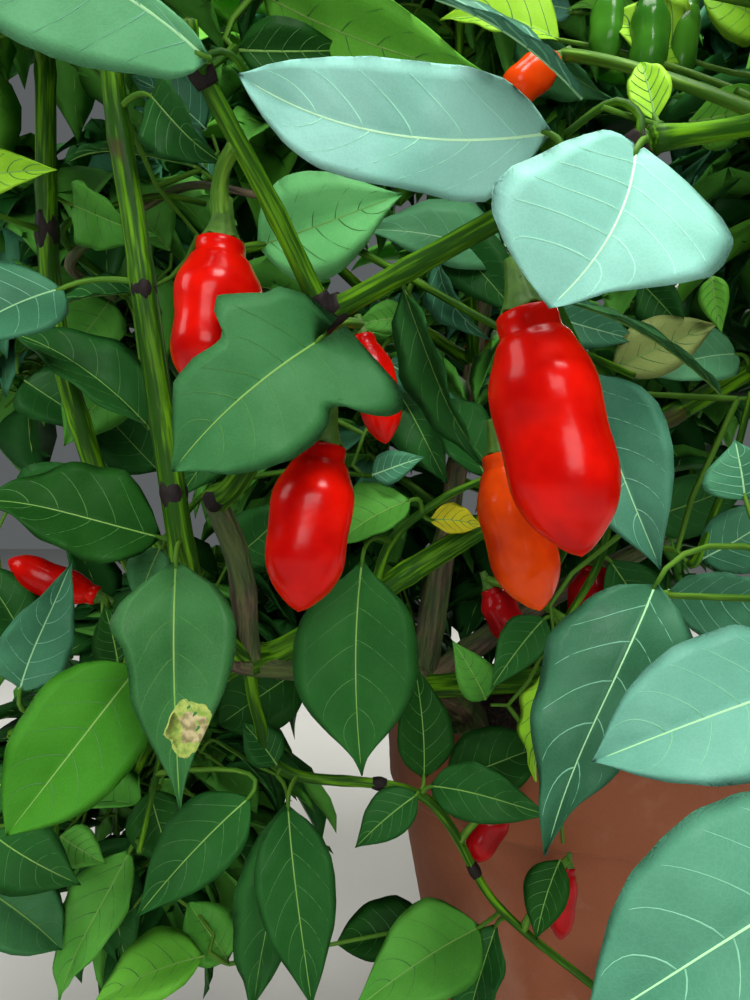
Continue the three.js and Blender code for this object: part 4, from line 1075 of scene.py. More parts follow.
class Room:
    """Keeps the midribs of the leaves that stand, so that no two cross."""

    def __init__(self):
        self.points = np.zeros((0, 3))

    def takes(self, leaf):
        share = np.array([0.15, 0.4, 0.65, 0.9])[:, None]
        line = leaf["base"] * (1 - share) + leaf["tip"] * share
        if len(self.points):
            gaps = np.linalg.norm(self.points[None, :, :] - line[:, None, :], axis=2)
            if gaps.min() < MIDRIB_APART:
                return False
        self.points = np.concatenate([self.points, line])
        return True


# Finishes


class Signal:
    """The output of a finish's node. Sums on it add Math nodes."""

    def __init__(self, finish, socket):
        self.finish, self.socket = finish, socket

    def sum(self, operation, first, second):
        return self.finish.node("ShaderNodeMath", {"operation": operation}, {0: first, 1: second})

    def __add__(self, other):
        return self.sum("ADD", self, other)

    def __radd__(self, other):
        return self.sum("ADD", other, self)

    def __mul__(self, other):
        return self.sum("MULTIPLY", self, other)

    def __rmul__(self, other):
        return self.sum("MULTIPLY", other, self)


class Finish:
    """One material, built up from plain calls."""

    def __init__(self, name):
        self.material = bpy.data.materials.new(name)
        self.material.use_nodes = True
        self.tree = self.material.node_tree
        self.shader = self.tree.nodes["Principled BSDF"]

    def node(self, kind, settings, entries, out=0):
        """Any node: its settings first, then the values or links of its sockets."""
        made = self.tree.nodes.new(kind)
        for key, value in settings.items():
            setattr(made, key, value)
        for key, value in entries.items():
            self.feed(made.inputs[key], value)
        return Signal(self, made.outputs[out])

    def feed(self, entry, value):
        if isinstance(value, Signal):
            self.tree.links.new(value.socket, entry)
        else:
            entry.default_value = value

    def place(self):
        return self.node("ShaderNodeTexCoord", {}, {}, "Object")

    def grain(self):
        return self.node("ShaderNodeAttribute", {"attribute_name": "grain"}, {}, "Vector")

    def stretched(self, vector, factors):
        return self.node("ShaderNodeVectorMath", {"operation": "MULTIPLY"}, {0: vector, 1: factors})

    def noise(self, vector, scale, detail):
        return self.node("ShaderNodeTexNoise", {}, {"Vector": vector, "Scale": scale, "Detail": detail})

    def cells(self, vector, scale, feature="DISTANCE_TO_EDGE"):
        return self.node("ShaderNodeTexVoronoi", {"feature": feature}, {"Vector": vector, "Scale": scale})

    def between(self, value, low, high):
        """0 below low, 1 above high and smooth between them."""
        return self.node("ShaderNodeMapRange", {"interpolation_type": "SMOOTHSTEP"},
                         {"Value": value, "From Min": low, "From Max": high})

    def mix(self, factor, first, second):
        opaque = [c if isinstance(c, Signal) else (*c, 1) for c in (first, second)]
        return self.node("ShaderNodeMix", {"data_type": "RGBA"}, {0: factor, 6: opaque[0], 7: opaque[1]}, 2)

    def set(self, **values):
        for key, value in values.items():
            self.feed(self.shader.inputs[key.replace("_", " ").title().replace("Ior", "IOR")], value)

    def bump(self, height, distance, strength):
        sockets = {"Strength": strength, "Distance": distance, "Height": height}
        raised = self.node("ShaderNodeBump", {}, sockets)
        self.feed(self.shader.inputs["Normal"], raised)


# Leaf colours: the deeper and the lighter green, roughness and wax
LEAF_COLOURS = {
    # a deep green, partly the leaf's own tone and partly painted shade for leaves low and deep in the crown
    "dark": ((0.006, 0.040, 0.005), (0.014, 0.078, 0.010), 0.42, 0.10),
    # the common green, made darker to paint the shade that falls on the lower leaves
    "mid": ((0.009, 0.060, 0.010), (0.020, 0.105, 0.019), 0.42, 0.12),
    "grass": ((0.024, 0.130, 0.007), (0.048, 0.205, 0.017), 0.45, 0.10),
    "fresh": ((0.046, 0.200, 0.022), (0.094, 0.320, 0.044), 0.42, 0.12),
    # a light green that paints the glow of leaves lit from behind
    "spring": ((0.100, 0.380, 0.110), (0.175, 0.540, 0.190), 0.42, 0.15),
    # a bright yellow-green, partly the leaf's own tone and partly painted sunlight; the crown gives it most
    # to its highest leaves
    "bright": ((0.070, 0.270, 0.020), (0.125, 0.390, 0.040), 0.45, 0.10),
    "teal": ((0.018, 0.085, 0.038), (0.042, 0.150, 0.078), 0.38, 0.20),
    "blue": ((0.030, 0.135, 0.066), (0.064, 0.230, 0.118), 0.38, 0.20),
    # a pale blue-green, partly the leaf's own tone and partly painted sky reflection
    "pale": ((0.062, 0.220, 0.088), (0.110, 0.340, 0.160), 0.40, 0.20),
    "moss": ((0.022, 0.105, 0.028), (0.048, 0.175, 0.062), 0.46, 0.15),
    # a blue-green, partly the leaf's own tone and partly painted sky reflection
    "mist": ((0.032, 0.135, 0.076), (0.068, 0.220, 0.137), 0.40, 0.20),
    # a pale blue-white green that paints the sky's reflection over the whole leaf
    "haze": ((0.185, 0.455, 0.360), (0.300, 0.590, 0.510), 0.40, 0.20),
    # a light blue-green that paints the sky's reflection on leaves that face up
    "sky": ((0.068, 0.222, 0.148), (0.120, 0.320, 0.240), 0.40, 0.25),
    "sage": ((0.016, 0.080, 0.019), (0.042, 0.155, 0.044), 0.40, 0.20),
    "olive": ((0.170, 0.230, 0.060), (0.300, 0.370, 0.120), 0.50, 0.08),
    "lime": ((0.150, 0.370, 0.015), (0.270, 0.520, 0.030), 0.42, 0.12),
    "yellow": ((0.420, 0.400, 0.015), (0.600, 0.520, 0.030), 0.50, 0.05),
}
LEAF_GLOSS = 0.45


def leaf_finish(colour):
    """A leaf's green, clouded, with a fine net of veins and a soft gloss."""
    deep, light, rough, wax = LEAF_COLOURS[colour]
    finish = Finish("leaf_" + colour)
    where = finish.place()
    broad = finish.noise(where, 24, 2)
    fine = finish.noise(where, 260, 3)
    net = finish.between(finish.cells(where, 620), 0.0, 0.16)
    shade = net * 0.14 + finish.between(broad, 0.3, 0.7) * 0.62 + fine * 0.24
    finish.set(
        base_color=finish.mix(shade, light, deep),
        roughness=rough - 0.06 + fine * 0.16,
        specular_ior_level=wax * LEAF_GLOSS,
    )
    finish.bump(net * 0.4 + fine * 0.6, 0.00014, 0.4)
    return finish.material


# Veins: the deeper and the lighter colour
VEIN_COLOURS = {
    "midrib": ((0.095, 0.240, 0.035), (0.200, 0.370, 0.080)),
    # paler, bluer veins for the bluer leaves: partly the veins' own pale tone and partly painted sky
    # reflection
    "midrib_pale": ((0.250, 0.520, 0.240), (0.360, 0.640, 0.350)),
    "vein": ((0.030, 0.120, 0.022), (0.060, 0.190, 0.040)),
    "vein_pale": ((0.115, 0.320, 0.195), (0.185, 0.430, 0.290)),
    # very light veins that carry the painted sky reflection of their leaves
    "midrib_haze": ((0.480, 0.820, 0.480), (0.600, 0.900, 0.600)),
    "vein_haze": ((0.330, 0.700, 0.520), (0.440, 0.800, 0.640)),
}
# Leaves whose whole colour is painted sky reflection get veins with the same painted reflection.
PAINTED_SHEEN_LEAVES = ("haze",)
PALE_LEAVES = ("pale", "mist", "sky", "blue", "teal")


def vein_finish(kind):
    deep, light = VEIN_COLOURS[kind]
    finish = Finish("leaf_" + kind)
    where = finish.place()
    finish.set(
        base_color=finish.mix(finish.noise(where, 60, 2), deep, light),
        roughness=0.45 + finish.noise(where, 300, 2) * 0.1, specular_ior_level=0.2,
    )
    return finish.material


def dry_finish(name, deep, light):
    """Dried leaf skin, mottled and dull."""
    finish = Finish(name)
    where = finish.place()
    mottle = finish.noise(where, 420, 4)
    skin = finish.mix(finish.between(mottle, 0.35, 0.65), deep, light)
    finish.set(base_color=skin, roughness=0.6 + mottle * 0.2)
    finish.bump(mottle, 0.0004, 0.6)
    return finish.material


def green_stem_finish(name, deep, light, stain):
    """Smooth green skin with lighter ribs, darker streaks and a few brown stains."""
    finish = Finish(name)
    grain = finish.grain()
    streaks = finish.noise(finish.stretched(grain, (420, 420, 26)), 1, 3)
    patches = finish.noise(finish.stretched(grain, (60, 60, 30)), 1, 3)
    specks = finish.noise(finish.stretched(grain, (900, 900, 300)), 1, 2)
    green = finish.mix(finish.between(streaks, 0.42, 0.74), deep, light)
    finish.set(
        base_color=finish.mix(finish.between(patches, 0.60, 0.72) * 0.7, green, stain),
        roughness=0.42 + specks * 0.2, specular_ior_level=0.1,
    )
    finish.bump(streaks * 0.7 + specks * 0.3, 0.0006, 0.6)
    return finish.material


def bark_finish():
    """Corky brown bark in lengthwise fissures, with the green skin still showing between."""
    finish = Finish("stem_bark")
    grain = finish.grain()
    cords = finish.noise(finish.stretched(grain, (330, 330, 34)), 1, 5)
    flakes = finish.cells(finish.stretched(grain, (260, 260, 60)), 1)
    patches = finish.noise(finish.stretched(grain, (55, 55, 22)), 1, 3)
    cork = finish.mix(finish.between(cords, 0.3, 0.7), (0.026, 0.018, 0.009), (0.150, 0.105, 0.052))
    skin = finish.mix(finish.between(cords, 0.3, 0.7), (0.018, 0.040, 0.006), (0.075, 0.105, 0.020))
    finish.set(
        base_color=finish.mix(finish.between(patches, 0.42, 0.58), skin, cork),
        roughness=0.62 + cords * 0.25,
    )
    finish.bump(cords * 0.7 + finish.between(flakes, 0, 0.2) * 0.3, 0.0014, 0.9)
    return finish.material


def collar_finish():
    """The purple-black skin at the joints of the stems."""
    finish = Finish("joint_skin")
    where = finish.place()
    finish.set(
        base_color=finish.mix(finish.noise(where, 220, 3), (0.005, 0.004, 0.006), (0.020, 0.014, 0.011)),
        roughness=0.46 + finish.noise(where, 700, 2) * 0.2, specular_ior_level=0.12,
    )
    finish.bump(finish.noise(where, 500, 3), 0.0006, 0.5)
    return finish.material


# Fruit colours: darker and lighter part of the skin
POD_COLOURS = {
    "red": ((0.34, 0.001, 0.0005), (0.62, 0.005, 0.001)),
    "orange": ((0.44, 0.018, 0.001), (0.70, 0.060, 0.003)),
    # ripe red made darker to paint the shade on pods that hang low and deep in the crown
    "deep": ((0.20, 0.002, 0.004), (0.40, 0.004, 0.005)),
    "green": ((0.020, 0.110, 0.008), (0.060, 0.230, 0.016)),
}


def pod_finish(colour):
    """The tight, shiny skin of a ripe or green pod."""
    deep, light = POD_COLOURS[colour]
    finish = Finish("pod_" + colour)
    where = finish.place()
    clouds = finish.noise(where, 38, 3)
    waves = finish.noise(where, 120, 2)
    pores = finish.noise(where, 1400, 2)
    finish.set(
        base_color=finish.mix(finish.between(clouds, 0.3, 0.7), deep, light),
        roughness=0.15 + waves * 0.05 + pores * 0.04, specular_ior_level=0.13,
    )
    finish.bump(waves * 0.9 + pores * 0.1, 0.0006, 0.4)
    return finish.material


def calyx_finish():
    """The mottled green of the calyx."""
    finish = Finish("calyx_green")
    where = finish.place()
    mottle = finish.noise(where, 260, 3)
    finish.set(
        base_color=finish.mix(mottle, (0.022, 0.075, 0.008), (0.090, 0.200, 0.024)),
        roughness=0.42 + mottle * 0.2, specular_ior_level=0.25,
    )
    finish.bump(mottle, 0.0006, 0.5)
    return finish.material


def terracotta_finish():
    """Fired clay: cloudy orange brown, fine pits and a faint lime bloom."""
    finish = Finish("terracotta")
    where = finish.place()
    clouds = finish.noise(where, 9, 4)
    grit = finish.noise(where, 620, 3)
    lime = finish.between(finish.noise(finish.stretched(where, (1, 1, 0.6)), 16, 5), 0.56, 0.76)
    scuffs = finish.between(finish.noise(where, 70, 4), 0.55, 0.75)
    pits = finish.between(finish.cells(where, 420, "F1"), 0.0, 0.24)
    clay = finish.mix(clouds, (0.15, 0.038, 0.012), (0.30, 0.085, 0.028))
    speckled = finish.mix(finish.between(grit, 0.62, 0.72) * 0.5, clay, (0.20, 0.055, 0.025))
    bloomed = finish.mix(lime * 0.14 + scuffs * 0.06, speckled, (0.62, 0.42, 0.31))
    finish.set(base_color=bloomed, roughness=0.72 + grit * 0.18)
    finish.bump(pits * 0.5 + grit * 0.5, 0.0007, 0.7)
    return finish.material


def soil_finish():
    """Dark, crumbly potting soil with damp places."""
    finish = Finish("potting_soil")
    where = finish.place()
    crumbs = finish.noise(where, 240, 5)
    damp = finish.noise(where, 30, 3)
    dark = finish.mix(crumbs, (0.012, 0.008, 0.005), (0.075, 0.045, 0.026))
    finish.set(base_color=finish.mix(damp * 0.5, dark, (0.02, 0.012, 0.008)), roughness=0.85 + crumbs * 0.12)
    finish.bump(crumbs, 0.003, 1.0)
    return finish.material


def floor_finish():
    finish = Finish("studio_floor")
    where = finish.place()
    finish.set(
        base_color=finish.mix(finish.noise(where, 3, 3), (0.50, 0.50, 0.48), (0.56, 0.56, 0.54)),
        roughness=0.8,
    )
    return finish.material


# Geometry Nodes


class Tree:
    """A Geometry Nodes tree with named inputs that ends in Realize Instances and Set Material."""

    def __init__(self, name, **entries):
        self.group = bpy.data.node_groups.new(name, "GeometryNodeTree")
        self.group.interface.new_socket("Shape", in_out="OUTPUT", socket_type="NodeSocketGeometry")
        self.group.interface.new_socket("Carrier", in_out="INPUT", socket_type="NodeSocketGeometry")
        self.group.interface.new_socket("Finish", in_out="INPUT", socket_type="NodeSocketMaterial")
        for entry, kind in entries.items():
            self.group.interface.new_socket(entry, in_out="INPUT", socket_type="NodeSocket" + kind)
        self.inputs = self.group.nodes.new("NodeGroupInput").outputs

    def node(self, kind, settings, entries, out=0):
        made = self.group.nodes.new(kind)
        for key, value in settings.items():
            setattr(made, key, value)
        for key, value in entries.items():
            if isinstance(value, bpy.types.NodeSocket):
                self.group.links.new(value, made.inputs[key])
            else:
                made.inputs[key].default_value = value
        return made.outputs[out]

    def named(self, name, kind):
        return self.node("GeometryNodeInputNamedAttribute", {"data_type": kind}, {"Name": name})

    def ends(self, shape):
        whole = self.node("GeometryNodeRealizeInstances", {}, {"Geometry": shape})
        smooth = self.node("GeometryNodeSetShadeSmooth", {}, {"Geometry": whole})
        sockets = {"Geometry": smooth, "Material": self.inputs["Finish"]}
        dressed = self.node("GeometryNodeSetMaterial", {}, sockets)
        self.group.links.new(dressed, self.group.nodes.new("NodeGroupOutput").inputs["Shape"])
        return self.group

    def run(self, name, carrier, **values):
        """The tree's result on a carrier mesh, as a plain mesh."""
        work = carrier.modifiers.new(name, "NODES")
        work.node_group = self.group
        for entry in self.group.interface.items_tree:
            if entry.in_out == "INPUT" and entry.name in values:
                work[entry.identifier] = values[entry.name]
        depsgraph = bpy.context.evaluated_depsgraph_get()
        plain = bpy.data.meshes.new_from_object(carrier.evaluated_get(depsgraph))
        bpy.data.objects.remove(carrier)
        plain.name = name
        for attribute in [a.name for a in plain.attributes if a.name in ("aim", "size", "kind", "thick")]:
            plain.attributes.remove(plain.attributes[attribute])
        return linked(name, plain)


def leaf_tree():
    """Puts one of several blades at each point, aimed and sized by the point's attributes."""
    tree = Tree("leaves_on_twigs", Blades="Collection")
    sockets = {"Collection": tree.inputs["Blades"], "Separate Children": True, "Reset Children": True}
    blades = tree.node("GeometryNodeCollectionInfo", {}, sockets)
    tree.ends(tree.node("GeometryNodeInstanceOnPoints", {}, {
        "Points": tree.inputs["Carrier"], "Instance": blades, "Pick Instance": True,
        "Instance Index": tree.named("kind", "INT"),
        "Rotation": tree.named("aim", "QUATERNION"),
        "Scale": tree.named("size", "FLOAT_VECTOR"),
    }))
    return tree


def stalk_tree():
    """Turns lines into round stalks, as thick as each point says."""
    tree = Tree("stalks_along_lines", Sides="Int")
    sockets = {"Resolution": tree.inputs["Sides"], "Radius": 1.0}
    ring = tree.node("GeometryNodeCurvePrimitiveCircle", {}, sockets)
    line = tree.node("GeometryNodeMeshToCurve", {}, {"Mesh": tree.inputs["Carrier"]})
    tree.ends(tree.node("GeometryNodeCurveToMesh", {}, {
        "Curve": line, "Profile Curve": ring, "Scale": tree.named("thick", "FLOAT"), "Fill Caps": True,
    }))
    return tree


def crumb_tree():
    """Scatters crumbs of soil over a surface."""
    tree = Tree("crumbs_on_soil", Crumb="Object", Density="Float", Smallest="Float", Largest="Float",
                Seed="Int")
    seed = tree.inputs["Seed"]
    spread = tree.node("GeometryNodeDistributePointsOnFaces", {}, {
        "Mesh": tree.inputs["Carrier"], "Density": tree.inputs["Density"], "Seed": seed})
    crumb = tree.node("GeometryNodeObjectInfo", {}, {"Object": tree.inputs["Crumb"]}, "Geometry")
    size = tree.node("FunctionNodeRandomValue", {"data_type": "FLOAT"}, {
        2: tree.inputs["Smallest"], 3: tree.inputs["Largest"], "Seed": seed}, 1)
    turn = tree.node("FunctionNodeRandomValue", {"data_type": "FLOAT_VECTOR"}, {1: (math.pi,) * 3})
    tree.ends(tree.node("GeometryNodeInstanceOnPoints", {}, {
        "Points": spread, "Instance": crumb, "Rotation": turn, "Scale": size,
    }))
    return tree


def carrier_mesh(name, points, edges=(), **attributes):
    """Points, and lines between them, that carry a tree's values. Places are in millimetres."""
    mesh = bpy.data.meshes.new(name)
    mesh.from_pydata([tuple(p) for p in np.asarray(points) * MM], [tuple(e) for e in edges], [])
    for key, (kind, field, values) in attributes.items():
        mesh.attributes.new(key, kind, "POINT").data.foreach_set(field, np.asarray(values).ravel())
    return linked(name, mesh)


# Wood

RIBS = 5
RIB_DEPTH = {"bark": 0.035, "green": 0.055}
CORD_DEPTH = {"bark": 0.075, "green": 0.02}
JOINT_STEP = 62
JOINT_SWELL = 0.11
JOINT_LENGTH = 5
FORK_SWELL = 0.28
FORK_LENGTH = 9
LIMB_SIDES, LIMB_RING = 20, 2.6
TRUNK_SIDES, TRUNK_RING = 36, 1.6
NEAR_STEM_SIDES, NEAR_STEM_RING = 18, 2.6
FAR_STEM_SIDES, FAR_STEM_RING = 9, 4.5
SHOOT_SIDES, SHOOT_RING = 12, 3.5
COLLAR_SIDES, COLLAR_RINGS = 18, 9
NEAR_MASSES = 4
RIB_TWIST = 110  # the ribs wind by one rib in about six times this length
CORDS_ROUND = 2.2
CORDS_ALONG = 0.045
CORD_HILLS = 0.8
BUMP_HILLS = 1.1


def limb(stock, points, radii, skin, seed, sides=LIMB_SIDES, ring=LIMB_RING, flare=0.0):
    """A limb with ribs, joints and the relief of its bark."""
    length = length_of(evenly(points, 60))
    rings = max(8, int(length / ring))
    line = evenly(points, rings)
    share = np.linspace(0, 1, rings + 1)
    walked = share * length
    angle = round_about(sides)
    radius = radii[0] + (radii[1] - radii[0]) * share
    radius = radius * (1 + flare * np.exp(-share / FLARE_REACH))
    joints = np.arange(JOINT_STEP * 0.7, length - 10, JOINT_STEP)
    swell = sum((np.exp(-(((walked - joint) / JOINT_LENGTH) ** 2)) for joint in joints), 0 * walked)
    fork = FORK_SWELL * np.exp(-((walked / FORK_LENGTH) ** 2)) * (flare == 0)
    radius = radius * (1 + JOINT_SWELL * swell + fork)
    ribs = np.cos(RIBS * angle[None, :] + walked[:, None] / RIB_TWIST + seed)
    places = wrapped(angle, walked * CORDS_ALONG, CORDS_ROUND)
    cords = hills(places, CORD_HILLS, seed)
    bumps = hills(places * v(1, 1, 4), BUMP_HILLS, seed + 5)
    relief = RIB_DEPTH[skin] * ribs + CORD_DEPTH[skin] * cords + CORD_DEPTH[skin] * 0.4 * bumps
    tube(stock, line, radius[:, None] * (1 + relief), ends=(0, radii[1] * 0.3))


def collar(stock, points, share, radius, length, seed):
    """The swollen dark skin round a joint, which thins out into the stem at both ends."""
    whole = evenly(points, 160)
    span = length_of(whole)
    steps = np.linspace(-0.5, 0.5, COLLAR_RINGS)
    at = np.clip(share + steps * length / span, 0, 1)
    line = np.stack([np.interp(at, np.linspace(0, 1, 161), whole[:, k]) for k in range(3)], axis=1)
    line += np.outer(steps * 1e-3, unit(line[-1] - line[0]))
    angle = round_about(COLLAR_SIDES)
    swell = 0.88 + 0.2 * np.cos(steps * math.pi) ** 1.5
    ragged = 0.07 * np.cos(2 * angle[None, :] + seed) + 0.05 * np.cos(5 * angle[None, :] - seed)
    tube(stock, line, radius * (swell[:, None] + ragged))


# Fruit

POD_OUTLINE = [v(0, 0, 0), v(0.003, 0.40, 0), v(0.014, 0.53, 0), v(0.04, 0.56, 0), v(0.085, 0.55, 0),
               v(0.105, 0.59, 0), v(0.13, 0.68, 0), v(0.18, 0.77, 0), v(0.26, 0.92, 0), v(0.34, 0.985, 0),
               v(0.43, 0.97, 0), v(0.53, 0.94, 0), v(0.62, 0.955, 0), v(0.70, 0.95, 0), v(0.78, 0.865, 0),
               v(0.86, 0.69, 0), v(0.93, 0.43, 0), v(0.975, 0.21, 0), v(1, 0, 0)]
POD_LOBES = 0.05
POD_WAVES = 0.024
POD_HILLS = 0.75
POD_BEND = 0.035
CALYX_OUTLINE = [v(-0.95, 0.17, 0), v(-0.60, 0.225, 0), v(-0.32, 0.29, 0), v(-0.12, 0.37, 0),
                 v(-0.01, 0.45, 0), v(0.045, 0.475, 0), v(0.06, 0.45, 0), v(0.03, 0.38, 0),
                 v(0.0, 0.2, 0)]
CALYX_TEETH = 5
CALYX_RINGS = 16
CALYX_RIBS = 0.06
TOOTH_LENGTH = 0.07
NAMED_POD_MESH = (56, 40)
CROWN_POD_MESH = (34, 22)
STALK_SHARE = 0.175  # a stalk has at least this share of its pod's radius
STALK_STEPS = 14
STALK_SIDES = 12


def pod(fruit, green, stalks, part, seed, rings, sides):
    """One fruit with its calyx and the thick stalk that it hangs from."""
    axis = unit(part["tip"] - part["top"])
    long = float(np.linalg.norm(part["tip"] - part["top"]))
    radius = part["radius"]
    outline = evenly(POD_OUTLINE, rings)
    share, wide = np.clip(outline[:, 0], 0, 1), np.maximum(outline[:, 1], 0)
    angle = round_about(sides)
    first = sideways(axis, seed)
    second = np.cross(axis, first)
    bend = POD_BEND * long * np.sin(math.pi * share)
    line = part["top"] + np.outer(share * long, axis) + np.outer(bend, turned(first, axis, seed * 2.3))
    belly = np.clip(np.sin(math.pi * np.clip(share * 1.15 - 0.1, 0, 1)), 0, 1)
    lobes = np.cos(3 * angle[None, :] + seed + 1.8 * share[:, None]) * belly[:, None]
    waves = hills(wrapped(angle, share * long / radius), POD_HILLS, seed)
    wavy = waves * np.clip(share * 9, 0, 1)[:, None] * np.clip((1 - share) * 6, 0, 1)[:, None]
    thick = radius * wide[:, None] * (1 + POD_LOBES * lobes + POD_WAVES * wavy)
    across = spokes(first[None, :], second[None, :], angle)
    body = line[:, None, :] + across * thick[:, :, None]
    fruit.add_rings(body, [line[0], line[-1]])
    cap = evenly(CALYX_OUTLINE, CALYX_RINGS)
    ribs = CALYX_RIBS * np.cos(2 * CALYX_TEETH * angle)[None, :]
    ribbed = 1 + ribs * np.clip(cap[:, 1] * 2, 0, 1)[:, None]
    teeth = TOOTH_LENGTH * np.cos(CALYX_TEETH * angle)[None, :]
    tooth = teeth * np.clip(cap[:, 0] * 8 + 0.6, 0, 1)[:, None]
    down = (cap[:, 0][:, None] + tooth) * radius
    around = cap[:, 1][:, None] * ribbed * radius
    rim = part["top"] + down[:, :, None] * axis + across[0][None, :, :] * around[:, :, None]
    ends = [part["top"] + axis * cap[0, 0] * radius, part["top"] + axis * cap[-1, 0] * radius]
    green.add_rings(rim, ends)
    stalk = bowed(part["root"], part["bend"], part["top"] - axis * radius * 0.45, STALK_STEPS)
    widths = [1.25, 1.0, 0.95, 1.0 + 0.02 * radius]
    swell = np.interp(np.linspace(0, 1, STALK_STEPS + 1), [0, 0.12, 0.5, 1], widths)
    turn = round_about(STALK_SIDES)
    least = max(STALK_RADIUS, radius * STALK_SHARE)
    tube(stalks, stalk, least * swell[:, None] * (1 + 0.07 * np.cos(4 * turn)[None, :]), ends=(0, 0))


# Pot and soil

POT_SIDES = 96
SOIL_SIDES = 72
CAP_RADIUS = 2  # fans close a turned form from here to its middle
POT_ROUNDING = 2.6
POT_STEP = 5.5
SOIL_STEP = 6
BAND_LEDGE = 2
RIM_BEVEL = 5
THROWING = 0.14
SOIL_RELIEF = 2.2
SOIL_HEAVE = 1.5  # the soil's mean surface lies this far under its named top


def rounded(outline, radius, steps=4):
    """The outline with each inner corner rounded off."""
    soft = [outline[0]]
    for before, corner, after in zip(outline[:-2], outline[1:-1], outline[2:]):
        reach = min(radius, np.linalg.norm(before - corner) * 0.45, np.linalg.norm(after - corner) * 0.45)
        start = corner + unit(before - corner) * reach
        end = corner + unit(after - corner) * reach
        soft.extend(bowed(start, corner, end, steps))
    soft.append(outline[-1])
    return np.array(soft)


def filled(outline, longest):
    """The outline with extra points, so that none of its steps is long."""
    full = [outline[0]]
    for start, end in zip(outline[:-1], outline[1:]):
        steps = max(1, int(math.ceil(np.linalg.norm(end - start) / longest)))
        full.extend(start + (end - start) * (i + 1) / steps for i in range(steps))
    return np.array(full)


def turned_form(outline, sides, relief):
    """A closed form turned round Z from an outline of radius and height."""
    angle = round_about(sides)
    radius = np.repeat(outline[:, 0][:, None], sides, axis=1)
    height = np.repeat(outline[:, 1][:, None], sides, axis=1)
    radius, height = relief(radius, height, angle[None, :])
    body = np.stack([radius * np.cos(angle), radius * np.sin(angle), height], axis=-1)
    ends = [[0, 0, outline[0, 1]], [0, 0, outline[-1, 1]]]
    stock = Stock()
    stock.add_rings(body, ends)
    return stock


def pot_form():
    """The pot's wall, rim band and closed floor, with the marks of throwing."""
    outline = [v(CAP_RADIUS, 0, 0), v(FOOT_RADIUS, 0, 0), v(BODY_RADIUS, BAND_FOOT, 0),
               v(RIM_RADIUS - BAND_LEDGE, BAND_FOOT + BAND_LEDGE, 0),
               v(RIM_RADIUS, POT_HEIGHT - RIM_BEVEL, 0), v(RIM_RADIUS - RIM_BEVEL, POT_HEIGHT, 0),
               v(BODY_RADIUS - POT_WALL, POT_HEIGHT, 0), v(BODY_RADIUS - POT_WALL, BAND_FOOT, 0),
               v(FOOT_RADIUS - POT_WALL, POT_FLOOR, 0), v(CAP_RADIUS, POT_FLOOR, 0)]
    outline = filled(rounded(outline, POT_ROUNDING), POT_STEP)

    def relief(radius, height, angle):
        rings = THROWING * np.sin(height / 2.1 + 0.4 * np.sin(angle * 2)) * (radius > FOOT_RADIUS - 2)
        hand = 0.35 * np.sin(angle * 2 + height / 90) + 0.2 * np.sin(angle * 5 - height / 40)
        inside = np.where(radius > FOOT_RADIUS * 0.5, 1, 0)
        return radius + (rings - abs(hand) * 0.6) * inside, height

    return turned_form(outline, POT_SIDES, relief)


def soil_form():
    """The soil, which fills the pot and has a lumpy top."""
    slope = (BODY_RADIUS - FOOT_RADIUS) / BAND_FOOT
    edge = FOOT_RADIUS - POT_WALL - 2 * CLEAR + slope * (BAND_FOOT - POT_FLOOR)
    foot = FOOT_RADIUS - POT_WALL - 2 * CLEAR
    outline = [v(CAP_RADIUS, POT_FLOOR + CLEAR, 0), v(foot, POT_FLOOR + CLEAR, 0), v(edge, BAND_FOOT, 0),
               v(edge - 1, SOIL_TOP - SOIL_HEAVE, 0), v(CAP_RADIUS, SOIL_TOP - SOIL_HEAVE, 0)]
    outline = filled(np.array(outline), SOIL_STEP)

    def relief(radius, height, angle):
        top = height > SOIL_TOP - 2 * SOIL_HEAVE
        spots = np.stack([radius * np.cos(angle), radius * np.sin(angle), 0 * radius], axis=-1)
        lumps = hills(spots, 14, 3) + 0.6 * hills(spots, 5, 9)
        return radius, height + np.where(top, SOIL_RELIEF * lumps, 0)

    return turned_form(outline, SOIL_SIDES, relief)


# A dried patch on one leaf

SCORCH_PLACE = (0.68, -0.42)
SCORCH_SIZE = 10.5
SCORCH_PATCH = 0.66
SCORCH_LIFT = (0.16, 0.26)
SCORCH_SIDES = 40
SCORCH_RINGS = (1.0, 0.92, 0.7, 0.45, 0.2)


def scorch(stock, leaf, size, lift, seed):
    """An uneven thin patch that lies on the blade."""
    axes, blade = leaf_axes(leaf), blade_of(leaf)
    turn = round_about(SCORCH_SIDES)
    uneven = 1 + 0.14 * np.cos(2 * turn + seed) + 0.08 * np.cos(5 * turn - seed) + 0.04 * np.cos(9 * turn)
    rings = []
    for out in SCORCH_RINGS:
        reach = size * uneven * out
        share = SCORCH_PLACE[0] + reach * np.cos(turn) / blade.length
        half = blade.half(share, np.full(SCORCH_SIDES, -1.0))
        side = np.clip(SCORCH_PLACE[1] + reach * np.sin(turn) / half, -0.97, 0.97)
        rings.append(blade.at(share, side) + UP * (lift if out < 1 else -0.1))
    flat = np.concatenate([*rings, [rings[-1].mean(axis=0), rings[0].mean(axis=0) - UP * 0.6]])
    quads, threes = ring_faces(len(SCORCH_RINGS), SCORCH_SIDES)
    low = len(SCORCH_RINGS) * SCORCH_SIDES
    threes = np.where(threes == low, low + 1, np.where(threes == low + 1, low, threes))
    stock.add(leaf["base"] + flat @ axes.T, quads[:, ::-1], threes[:, ::-1])


# Making the pieces

